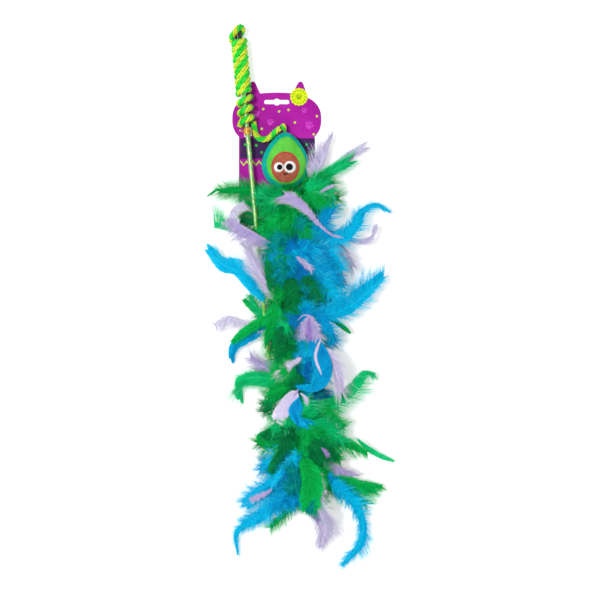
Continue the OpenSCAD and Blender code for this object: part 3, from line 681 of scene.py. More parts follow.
def pillow():
    """The stuffed fruit: front and back panels drawn in and puckered at the seam."""
    sides, rings = 144, 34
    a = circle(sides)
    edge = outline(a)
    points = [[*AVOCADO, SEAM_Z + FRONT]]
    shares = np.sin(np.linspace(0, math.pi / 2, rings + 1))[1:]
    for front, depth in ((1, FRONT), (-1, BACK)):
        for r in shares if front > 0 else shares[:-1][::-1]:
            swell = depth * (1 - r**2) ** 0.6
            pucker = 0.5 * r**10 * (1 - r**8) * 4 * np.sin(34 * a + 1.5 * np.sin(5 * a))
            soft = 0.25 * np.sin(3 * a + 4 * r) * r * (1 - r)
            z = SEAM_Z + front * (swell + (pucker + soft) * (r < 0.999))
            points += [[AVOCADO[0] + r * x, AVOCADO[1] + r * y, h] for (x, y), h in zip(edge, z)]
    points.append([*AVOCADO, SEAM_Z - BACK])
    return points, dome(2 * rings - 1, sides)


def patch(edge, lift, round_in=0.06, rings=16):
    """A felt patch that follows the stuffed front, with a rolled edge; edge is its outline."""
    centre = edge.mean(axis=0)
    middle = float(front_z(*centre))
    points = [[*centre, middle + lift]]
    shares = [*np.linspace(0, 1 - round_in, rings)[1:], 1 - round_in * 0.5, 1 - round_in * 0.15, 1.0, 1.0]
    lifts = [lift] * (rings - 1) + [lift * 0.93, lift * 0.7, lift * 0.35, -0.5]
    for share, rise in zip(shares, lifts):
        ring = centre + (edge - centre) * share
        points += [[x, y, z + rise] for (x, y), z in zip(ring, front_z(ring[:, 0], ring[:, 1]))]
    points.append([*centre, middle - 0.5])
    return points, dome(len(shares), len(edge))


def stitches(edge, spacing, length, thick, lift):
    """Short stitches across an outline, one loop of thread at each."""
    edge = np.vstack([edge, edge[:1]])
    reach = travel(edge)
    count = int(reach[-1] / spacing)
    points, faces = [], []
    for n in range(count):
        at = [np.interp(reach[-1] * (n + d) / count, reach, edge[:, k]) for d in (0, 0.01) for k in (0, 1)]
        here, ahead = np.array(at[:2]), unit(np.array(at[2:]) - np.array(at[:2]))
        side = np.array([-ahead[1], ahead[0]])
        ts = np.linspace(-1, 1, 6)
        flat = here + ts[:, None] * (side * length / 2 + ahead * 0.2)
        height = front_z(flat[:, 0], flat[:, 1]) + lift * (1 - ts**2) + 0.05
        own, wall = tube(np.column_stack([flat, height]), thick, 6, first=len(points))
        points += own.tolist()
        faces += wall
    return points, faces


def make_avocado():
    teal = felt("teal_plush", linear_colour(0, 140, 130), linear_colour(10, 196, 178))
    lime = felt("green_plush", linear_colour(74, 188, 54), linear_colour(112, 220, 84))
    brown = felt("stone_plush", linear_colour(154, 74, 54), linear_colour(190, 106, 80))
    red = felt("stone_binding", linear_colour(176, 50, 50), linear_colour(214, 78, 74))
    body = piece("avocado_plush", *pillow(), [teal], "avocado", "avocado_back_panel", "avocado_stuffing",
                 slot="teal_plush")

    panel, middle = outline(circle(160)), AVOCADO + [1.2, 0.2]
    piece("avocado_face", *patch(middle + panel * [0.83, 0.85], 0.55, rings=22), [lime], "avocado",
          "avocado_front_panel", slot="green_plush")
    thread = yarn("face_thread", linear_colour(60, 160, 50), linear_colour(100, 205, 70), linear_colour(150, 235, 110))
    piece("face_stitches", *stitches(middle + panel * [0.80, 0.82], 2.2, 1.6, 0.16, 0.75), [thread], "avocado",
          slot="green_plush")

    stone_edge = disc(STONE, *STONE_SIZE, sides=120)
    piece("stone_felt", *patch(stone_edge, 1.1, rings=18), [brown], "avocado", "stone_patch",
          slot="stone_plush")
    rim = np.vstack([stone_edge, stone_edge[:2]])
    line = np.column_stack([rim, front_z(rim[:, 0], rim[:, 1]) + 0.75])
    piece("stone_rim", *tube(line, 0.85, 10, closed=False), [red], "avocado", slot="stone_plush")

    white = felt("eye_white", linear_colour(226, 224, 228), linear_colour(250, 250, 250), 0.1)
    black = felt("eye_black", linear_colour(10, 10, 12), linear_colour(30, 28, 30), 0.1)
    for side, place, size, shift, pupil in EYES:
        centre = STONE + place
        ball, spot = disc(centre, size, size, sides=64), disc(centre + [shift, 0], pupil, pupil, sides=48)
        piece(f"eye_white_{side}", *patch(ball, 1.9, 0.16, 10), [white], "avocado", f"eye_{side}",
              slot="eye_white")
        piece(f"eye_pupil_{side}", *patch(spot, 2.5, 0.18, 8), [black], "avocado", f"pupil_{side}",
              slot="eye_black")
    t = np.linspace(-1, 1, 24)
    x, y = STONE[0] + 2.7 * t, STONE[1] - 9.6 + 2.5 * t**2
    piece("smile", *tube(np.column_stack([x, y, front_z(x, y) + 1.5]), 0.62, 8), [black], "avocado",
          "smile_patch", slot="eye_black")


make_lead_end()
make_tie()
make_card()
make_avocado()


# The boa

# Each shade of feather from its dark hollows to its light tips: the feather's own colour, with painted shade
# in the hollows and painted light at the tips
SHADES = {
    "green": [(0, 96, 34), (0, 158, 62), (0, 194, 90), (24, 222, 128)],
    "mint": [(0, 138, 76), (0, 192, 108), (20, 218, 140), (110, 238, 188)],
    "dark": [(0, 62, 40), (0, 106, 56), (0, 140, 76), (10, 172, 104)],
    "blue": [(0, 96, 168), (0, 148, 208), (0, 182, 228), (30, 208, 242)],
    "aqua": [(0, 134, 196), (0, 184, 230), (0, 206, 244), (90, 230, 252)],
    "navy": [(0, 66, 132), (0, 108, 180), (0, 142, 204), (14, 172, 220)],
    "lilac": [(138, 122, 184), (176, 160, 214), (204, 192, 228), (234, 228, 244)],
    "pale": [(180, 168, 212), (208, 199, 232), (226, 221, 241), (245, 243, 251)],
    "teal": [(0, 92, 96), (0, 142, 136), (0, 176, 170), (40, 210, 200)],
    "violet": [(104, 76, 160), (150, 118, 198), (182, 154, 216), (214, 200, 234)],
}
SHADES = {shade: np.array([linear_colour(*stop) for stop in stops]) for shade, stops in SHADES.items()}
FAMILIES = {"green": "green mint dark teal", "blue": "blue aqua navy", "lilac": "lilac pale violet"}
FAMILY = {shade: family for family, shades in FAMILIES.items() for shade in shades.split()}
TONE_STOPS = [0.0, 0.4, 0.75, 1.0]

# How each kind of feather grows: lean of its barbs at the root and at the tip in degrees, how
# far they wander, how they droop, how many clump together, how many layers lie over one another,
# how much of the vane's width is closed into a web, how uneven the barbs' lengths are, and the
# vane's width along the quill as shares on the left and on the right
LEAF = [0.3, 0.75, 0.95, 1.0, 0.92, 0.7, 0.3]
FULL = [0.8, 1.0, 1.0, 0.95, 0.9, 0.75, 0.45]
Kind = namedtuple("Kind", "lean wander droop clump layers web ragged left right")
KINDS = {
    "vane": Kind((60, 30), 0.05, 0.08, 8, 1, 0.84, 0.3, LEAF, LEAF),
    "blade": Kind((66, 40), 0.03, 0.06, 9, 1, 0.93, 0.12, *[[0.5, 0.85, 1.0, 1.0, 0.95, 0.7, 0.2]] * 2),
    "bar": Kind((58, 24), 0.08, 0.08, 7, 2, 0.7, 0.4, *[[0.6, 0.85, 0.95, 1.0, 1.0, 1.0, 0.9]] * 2),
    "hook": Kind((66, 46), 0.04, 0.06, 9, 1, 0.93, 0.15, *[[0.5, 0.9, 1.0, 0.9, 0.55, 0.3, 0.1]] * 2),
    "sail": Kind((66, 84), 0.07, 0.1, 9, 2, 0.5, 0.6, [0.3, 0.6, 0.85, 1.0, 1.0, 0.85, 0.5], LEAF),
    "flag": Kind((50, 50), 0.12, 0.22, 6, 2, 0.6, 0.4,
                 [0.12, 0.12, 0.15, 0.35, 0.85, 1.0, 0.8], [0.3, 0.3, 0.35, 0.5, 0.9, 1.0, 0.8]),
    "plume": Kind((72, 32), 0.26, 0.16, 7, 2, 0.36, 0.5, FULL, FULL),
    "train": Kind((52, 24), 0.1, 0.1, 8, 2, 0.56, 0.4, *[[0.2, 0.3, 0.55, 1.0, 0.9, 0.5, 0.25]] * 2),
    "swoop": Kind((70, 26), 0.18, 0.12, 7, 2, 0.52, 0.5, *[[0.7, 1.0, 1.0, 0.85, 0.5, 0.32, 0.16]] * 2),
    "frayed": Kind((70, 34), 0.22, 0.12, 6, 2, 0.44, 0.6,
                   [0.4, 0.8, 1.0, 0.4, 0.95, 0.5, 0.2], [0.5, 0.9, 0.6, 0.95, 0.45, 0.6, 0.2]),
    "sweep": Kind((62, 44), 0.12, 0.12, 8, 2, 0.56, 0.45,
                  [0.3, 0.7, 0.95, 1.0, 0.85, 0.6, 0.4], [0.5, 0.9, 1.0, 1.0, 0.8, 0.5, 0.3]),
    "comb": Kind((84, 80), 0.09, 0.12, 10, 2, 0.26, 0.6,
                 [0.4, 0.7, 0.95, 1.0, 1.0, 0.95, 0.85], [0.4, 0.6, 0.8, 0.9, 0.95, 1.1, 1.5]),
    "curl": Kind((75, 36), 0.22, 0.4, 9, 2, 0.45, 0.45, *[[0.3, 0.55, 0.9, 1.0, 1.0, 0.9, 0.6]] * 2),
    "fan": Kind((34, 18), 0.12, 0.1, 8, 2, 0.5, 0.5, *[[0.6, 0.9, 1.0, 1.0, 0.95, 0.8, 0.6]] * 2),
}
# Space from one barb to the next along the quill, width of a barb, space between the ribs of a web,
# points along a rib and along a barb, points along a quill and its sides
BARB_GAP, BARB_WIDTH, RIB_GAP = 0.42, 0.46, 0.9
WEB_STEPS, BARB_STEPS = 5, 5
QUILL_STEPS, QUILL_SIDES = 40, 5
# Filling plumes on each link, and how far the upper ones reach to each side, at stations down the boa
FILL = 24
FILL_DOWN = [0, 30, 60, 90, 130, 150, 180, 210, 235, 300, 340, 370, 395]
FILL_LEFT = [34, 34, 44, 30, 27, 26, 24, 24, 38, 44, 44, 34, 26]
FILL_RIGHT = [40, 44, 48, 50, 46, 42, 36, 30, 34, 46, 40, 26, 18]
LOWEST_FILL = 402
SHORTEST_FILL = 14.0
# Heights of a filling plume's root, middle and tip in each layer, and how far out its root is; teal
# is this near an edge between green and blue, in this share of the plumes
LAYER_HEIGHTS = ((20, 9, 4), (CORE_Z, 27, 16), (44, 52, 36))
LAYER_OUT = (4, 4, 0)
TEAL_REACH, TEAL_SHARE = 16, 0.35
# The boa is pressed together above this height; its packed hearts' half width and half height, and
# the share of their height at which they are seen, under the down that stands on them
PRESSED_FROM = 38
HEART_WIDTH, HEART_RISE, HEART_HEIGHT = 20, 19, 0.84
# The core's rope: its radius, and the length of one turn of its strands
CORE_RADIUS, CORE_LAY = 2.2, 9


def tinted(shade, tone):
    """Colour of a shade at tones from 0, its dark hollow, to 1, its light tip; the low tones are painted shade
    and the high ones painted light.
    """
    tone = np.clip(tone, 0, 1)
    return np.stack([np.interp(tone, TONE_STOPS, stops) for stops in SHADES[shade].T], axis=-1)


class Fibres:
    """Barbs and quills gathered into one mesh, each point with its own colour."""

    def __init__(self):
        self.points, self.faces, self.colours, self.count = [], [], [], 0

    def gather(self, points, faces, colours):
        self.points.append(points)
        self.faces.append(np.asarray(faces) + self.count)
        self.colours.append(colours)
        self.count += len(points)

    def barbs(self, lines, sides, widths, shade, tones):
        """Flat tapering strips along lines of points."""
        count, steps = lines.shape[:2]
        half = sides * widths[..., None] / 2
        points = np.stack([lines - half, lines + half], axis=2)
        one = np.array([[2 * i, 2 * i + 1, 2 * i + 3, 2 * i + 2] for i in range(steps - 1)])
        faces = (one[None] + (np.arange(count) * steps * 2)[:, None, None]).reshape(-1, 4)
        colours = np.repeat(tinted(shade, tones)[:, :, None], 2, axis=2)
        self.gather(points.reshape(-1, 3), faces, colours.reshape(-1, 4))

    def sheet(self, lines, shade, tones):
        """A sheet through lines of points that lie side by side."""
        count, steps = lines.shape[:2]
        one = np.array([[i, i + 1, i + 1 + steps, i + steps] for i in range(steps - 1)])
        faces = (one[None] + (np.arange(count - 1) * steps)[:, None, None]).reshape(-1, 4)
        self.gather(lines.reshape(-1, 3), faces, tinted(shade, tones).reshape(-1, 4))

    def quill(self, line, radius, shade):
        points, faces = tube(line, np.linspace(radius, radius * 0.25, len(line)), QUILL_SIDES, closed=False)
        # The quill is painted lighter towards its tip: painted light
        tone = np.repeat(np.linspace(0.55, 1.0, len(line)), QUILL_SIDES)
        self.gather(points, faces, tinted(shade, tone))

    def finish(self, name, material, body, *nodes, slot):
        thing = piece(name, np.vstack(self.points), np.vstack(self.faces), [material], body, *nodes, slot=slot)
        colours = np.vstack(self.colours).astype(np.float32)
        layer = thing.data.color_attributes.new("linear_colour", "FLOAT_COLOR", "POINT")
        layer.data.foreach_set("color", colours.ravel())
        return thing


def under_ceiling(points):
    """Points with their heights pressed together, in their order, under the uneven, crowned top of the boa."""
    x, y, z = np.moveaxis(points, -1, 0)
    _, across = off_link(points)
    room = 15 + 3.0 * np.sin(0.075 * y + 0.05 * x) + 2.0 * np.sin(0.19 * y - 0.12 * x)
    room = np.maximum(room - (across / 14) ** 2, 4)
    pressed = PRESSED_FROM + room * (1 - np.exp(-np.maximum(z - PRESSED_FROM, 0) / room))
    return np.stack([x, y, np.where(z < PRESSED_FROM, z, pressed)], axis=-1)


def feather(fibres, rng, shade, kind, left, right, spine, quill=0.4, bare=0.04, spread=1.0, shift=0.0):
    """One feather along a spine from root to tip, its vane as wide as told on each side."""
    grows = KINDS[kind]
    line = smooth_line(spine, QUILL_STEPS)
    length = travel(line)[-1]
    tangents = unit(np.gradient(line, axis=0))
    stops = np.linspace(0, 1, QUILL_STEPS)
    wander = grows.wander * spread
    fibres.quill(under_ceiling(line[::3]), quill, shade)

    def run(t, hand, width, u, sway, stray, lift):
        """Lines of points from the quill outwards, one from each place t along it."""
        root = np.stack([np.interp(t, stops, line[:, k]) for k in range(3)], axis=1)
        ahead = unit(np.stack([np.interp(t, stops, tangents[:, k]) for k in range(3)], axis=1))
        side = unit(np.cross(ahead, UP)) * hand
        above = unit(np.cross(side, ahead)) * hand
        lean = np.radians(np.interp(t, [0, 1], grows.lean) + 4 * stray[:, 0])
        share = np.interp(t, np.linspace(0, 1, 7), grows.right if hand > 0 else grows.left)
        reach = (width * share * (1 + 0.10 * sway[:, 0]) / np.maximum(np.sin(lean), 0.5))[:, None, None]
        away = np.cos(lean)[:, None] * ahead + np.sin(lean)[:, None] * side
        bend = (sway * 0.75 + stray * 0.45) * wander - np.array([0, 0, grows.droop]) + 0.22 * ahead
        path = root[:, None] + reach * (away[:, None] * u + bend[:, None] * u**2)
        path = path + (lift * above)[:, None] * np.sin(u * math.pi * 0.9)
        return path, ahead

    def tufts(count):
        tuft = np.repeat(np.arange(count // grows.clump + 1), grows.clump)[:count]
        return rng.normal(0, 1, (tuft.max() + 1, 3))[tuft], rng.normal(0, 1, (count, 3))

    for hand, width in ((1, right), (-1, left)):
        # The web: a closed sheet next to the quill, ribbed by its barbs
        ribs = max(8, int(length / RIB_GAP))
        sway, stray = tufts(ribs)
        t = np.linspace(bare, 0.99, ribs)
        u = np.linspace(0, 1, WEB_STEPS)[None, :, None] * grows.web * rng.uniform(0.86, 1.0, (ribs, 1, 1))
        path, _ = run(t, hand, width, u, 0.4 * sway, 0.25 * stray, -0.2)
        path[..., 2] = np.maximum(path[..., 2], 0.5)
        path = under_ceiling(path)
        # The web is painted darker at the quill and lighter outwards and towards the tip: painted shade and
        # painted light, with a random tone of its own
        tones = shift + 0.30 + 0.34 * u[..., 0] + 0.05 * sway[:, :1] + 0.08 * stray[:, 1:2] + 0.16 * t[:, None]
        fibres.sheet(path, shade, tones)
        # The barbs, clumped into locks, which reach past it
        number = max(8, int(length / BARB_GAP))
        for layer in range(grows.layers):
            sway, stray = tufts(number)
            t = np.clip(np.linspace(bare, 1, number) + rng.uniform(-0.5, 0.5, number) / number, 0, 0.999)
            wisp = rng.random(number) < 0.16
            longer = (1.05 - grows.ragged * rng.random(number) ** 1.6) * np.where(wisp, 1.22, 1.0)
            u = np.linspace(0, 1, BARB_STEPS)[None, :, None]
            lift = (layer + 0.3) * (0.4 + 2.2 * wander)
            path, ahead = run(t, hand, width, u * longer[:, None, None], sway, stray, lift)
            path[..., 2] = np.maximum(path[..., 2], 0.5 + 0.6 * rng.random(number)[:, None])
            path = under_ceiling(path)
            flat = unit(ahead[:, None] * np.ones_like(u) + 0.35 * stray[:, None] * np.array([0.2, 0.2, 1.0]))
            taper = np.array([1.1, 1.05, 1.0, 0.8, 0.25])[None] * rng.uniform(0.75, 1.2, (number, 1))
            taper = BARB_WIDTH * taper * np.where(wisp, 0.45, 1.0)[:, None]
            u = u[..., 0]
            # Each barb is painted darker at the quill and lighter towards its tip: painted shade and painted
            # light, with a random tone of its own
            tones = 0.34 + 0.36 * u**1.3 + 0.16 * sway[:, :1] * u + 0.11 * stray[:, :1] + 0.18 * t[:, None]
            fibres.barbs(path, flat, taper, shade, tones + shift)


def on_link(points):
    """Points given across, along and above the boa's core, put where the boa lies."""
    x, y, z = np.moveaxis(np.asarray(points, float), -1, 0)
    return np.stack([*spun(x, y, BOA_LEAN), z], axis=-1) + BOA_TOP


def off_link(points):
    """How far down the boa and how far across it points lie."""
    x, y, _ = np.moveaxis(np.asarray(points, float) - BOA_TOP, -1, 0)
    across, along = spun(x, y, -BOA_LEAN)
    return -along, across


# Where the boa is blue: from the first edge to the second across it, at stations down it
BLUE_DOWN = [0, 50, 62, 110, 120, 160, 170, 262, 275, 325, 335, 400]
BLUE_FROM = [40, 30, -8, -10, 12, 12, 2, 4, 60, 60, -60, -60]
BLUE_TO = [90, 90, 90, 90, 90, 90, 90, 90, 90, 90, -8, -6]


def off_edge(down, across):
    """How far a place is from the nearer edge between green and blue."""
    return min(abs(across - np.interp(down, BLUE_DOWN, edge)) for edge in (BLUE_FROM, BLUE_TO))


def is_blue(down, across):
    return (across > np.interp(down, BLUE_DOWN, BLUE_FROM)) & (across < np.interp(down, BLUE_DOWN, BLUE_TO))


def packed_heart(k):
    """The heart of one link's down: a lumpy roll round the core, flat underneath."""
    rings, sides, points = 22, 30, []
    for i, y in enumerate(np.linspace(0.6, LINK_LENGTH - 0.6, rings)):
        end = min(i, rings - 1 - i)
        full = math.sqrt(min(1.0, (end + 0.15) / 3))
        for j in range(sides):
            a = 2 * math.pi * j / sides
            lump = 1 + 0.10 * math.sin(3 * a + 0.9 * i + 2 * k) + 0.07 * math.sin(5 * a - 1.4 * i)
            x, z = HEART_WIDTH * full * lump * math.cos(a), CORE_Z + HEART_RISE * full * lump * math.sin(a)
            points.append([x, -(k - 1) * LINK_LENGTH - y, max(z, 1.0)])
    return on_link(points), roll(rings, sides)


def down_tree():
    """Fine fibres that stand on a skin, lean at random and curl together towards their tips."""
    tree = bpy.data.node_groups.new("down_fibres", "GeometryNodeTree")
    face = tree.interface
    face.new_socket("Skin", in_out="INPUT", socket_type="NodeSocketGeometry")
    for label, kind, value in (
        ("Fibres per square metre", "NodeSocketFloat", 3.4e5),
        ("Shortest", "NodeSocketFloat", 0.008),
        ("Longest", "NodeSocketFloat", 0.016),
        ("Thickness", "NodeSocketFloat", 0.0003),
        ("Curl", "NodeSocketFloat", 0.009),
        ("Lean", "NodeSocketFloat", 0.75),
        ("Seed", "NodeSocketInt", 1),
        ("Finish", "NodeSocketMaterial", None),
    ):
        socket = face.new_socket(label, in_out="INPUT", socket_type=kind)
        if value is not None:
            socket.default_value = value
    face.new_socket("Fibres", in_out="OUTPUT", socket_type="NodeSocketGeometry")
    nodes = Nodes(tree)
    given = nodes.add("NodeGroupInput").outputs
    spots = nodes.add("GeometryNodeDistributePointsOnFaces", {
        "Mesh": given["Skin"], "Density": given["Fibres per square metre"], "Seed": given["Seed"]})
    strand = nodes.add("GeometryNodeResampleCurve", {
        "Curve": nodes.add("GeometryNodeCurvePrimitiveLine", {"End": (0, 0, 1)}).outputs[0],
        "Count": 5}).outputs[0]
    reach = nodes.add("FunctionNodeRandomValue", {
        2: given["Shortest"], 3: given["Longest"], "Seed": given["Seed"]})
    angle = nodes.maths("MULTIPLY", given["Lean"], -1.0)
    low = nodes.add("ShaderNodeCombineXYZ", {"X": angle, "Y": angle, "Z": -3.1})
    high = nodes.add("ShaderNodeCombineXYZ", {"X": given["Lean"], "Y": given["Lean"], "Z": 3.1})
    tilt = nodes.add("FunctionNodeRandomValue", {
        0: low.outputs[0], 1: high.outputs[0], "Seed": 5}, data_type="FLOAT_VECTOR")
    turn = nodes.add("FunctionNodeRotateRotation", {
        "Rotation": spots.outputs["Rotation"],
        "Rotate By": nodes.add("FunctionNodeEulerToRotation", {"Euler": tilt.outputs[0]}).outputs[0]},
        rotation_space="LOCAL")
    placed = nodes.add("GeometryNodeInstanceOnPoints", {
        "Points": spots.outputs["Points"], "Instance": strand, "Rotation": turn.outputs[0],
        "Scale": reach.outputs[1]})
    own = nodes.add("FunctionNodeRandomValue", {2: 0.0, 3: 1.0, "Seed": 9})
    marked = nodes.add("GeometryNodeStoreNamedAttribute", {
        "Geometry": placed.outputs[0], "Name": "own", "Value": own.outputs[1]},
        data_type="FLOAT", domain="INSTANCE")
    loose = nodes.add("GeometryNodeRealizeInstances", {"Geometry": marked.outputs[0]})
    factor = nodes.add("GeometryNodeSplineParameter").outputs["Factor"]
    where = nodes.add("GeometryNodeInputPosition").outputs[0]
    sways = []
    for scale in (85, 420):
        noise = nodes.add("ShaderNodeTexNoise", {"Vector": where, "Scale": scale, "Detail": 1})
        sways.append(nodes.vectors("SUBTRACT", noise.outputs["Color"], (0.5, 0.5, 0.5)))
    both = nodes.vectors("ADD", sways[0], nodes.vectors("MULTIPLY", sways[1], (0.35, 0.35, 0.35)))
    curl = nodes.maths("MULTIPLY", given["Curl"], 3.0)
    grow = nodes.maths("MULTIPLY", nodes.maths("POWER", factor, 1.6), curl)
    scaled = nodes.add("ShaderNodeVectorMath", {0: both, "Scale": grow}, operation="SCALE")
    bent = nodes.add("GeometryNodeSetPosition", {"Geometry": loose.outputs[0], "Offset": scaled.outputs[0]})
    toned = nodes.add("GeometryNodeStoreNamedAttribute", {
        "Geometry": bent.outputs[0], "Name": "tone", "Value": factor}, data_type="FLOAT", domain="POINT")
    taper = nodes.maths("SUBTRACT", 1.0, nodes.maths("MULTIPLY", factor, 0.82))
    profile = nodes.add("GeometryNodeCurvePrimitiveCircle", {"Resolution": 3, "Radius": 1.0})
    body = nodes.add("GeometryNodeCurveToMesh", {
        "Curve": toned.outputs[0], "Profile Curve": profile.outputs["Curve"],
        "Scale": nodes.maths("MULTIPLY", given["Thickness"], taper)})
    whole = nodes.add("GeometryNodeRealizeInstances", {"Geometry": body.outputs[0]})
    done = nodes.add("GeometryNodeSetMaterial", {"Geometry": whole.outputs[0], "Material": given["Finish"]})
    nodes.join(done.outputs[0], nodes.add("NodeGroupOutput").inputs[0])
    return tree


def grown(tree, points, faces, sizes):
    """Plain mesh of what a geometry tree grows on the skin given."""
    mesh = bpy.data.meshes.new("skin")
    mesh.from_pydata((np.asarray(points) * MM).tolist(), [], [list(map(int, f)) for f in faces])
    holder = bpy.data.objects.new("skin", mesh)
    bpy.context.scene.collection.objects.link(holder)
    modifier = holder.modifiers.new("grown", "NODES")
    modifier.node_group = tree
    for item in tree.interface.items_tree:
        if item.in_out == "INPUT" and item.name in sizes:
            modifier[item.identifier] = sizes[item.name]
    ready = bpy.context.evaluated_depsgraph_get()
    result = bpy.data.meshes.new_from_object(
        holder.evaluated_get(ready), preserve_all_data_layers=True, depsgraph=ready)
    holder.modifiers.remove(modifier)
    bpy.data.objects.remove(holder)
    bpy.data.meshes.remove(mesh)
    return result


def paint_down(mesh):
    """Colours the down green or blue where the boa is, darker at each fibre's root as painted shade in its
    hollows and lighter at its tip as painted light.
    """
    count = len(mesh.vertices)
    place = np.empty(count * 3, np.float32)
    mesh.vertices.foreach_get("co", place)
    place = place.reshape(-1, 3)
    tone, own = np.zeros(count, np.float32), np.zeros(count, np.float32)
    mesh.attributes["tone"].data.foreach_get("value", tone)
    if mesh.attributes["own"].domain == "POINT":
        mesh.attributes["own"].data.foreach_get("value", own)
    down, across = off_link(place / MM)
    blue = is_blue(down + 10 * (own - 0.5), across + 14 * (own - 0.5))
    # Darker at a fibre's root and lighter at its tip: painted shade and painted light
    tone = 0.05 + 0.62 * tone + 0.28 * (own - 0.3)
    colours = np.where(blue[:, None], tinted("blue", tone), tinted("green", tone)).astype(np.float32)
    layer = mesh.color_attributes.new("linear_colour", "FLOAT_COLOR", "POINT")
    layer.data.foreach_set("color", colours.ravel())
    place[:, 2] = np.maximum(place[:, 2], 0.4 * MM)
    place = under_ceiling(place / MM) * MM
    mesh.vertices.foreach_set("co", place.ravel())
    mesh.update()


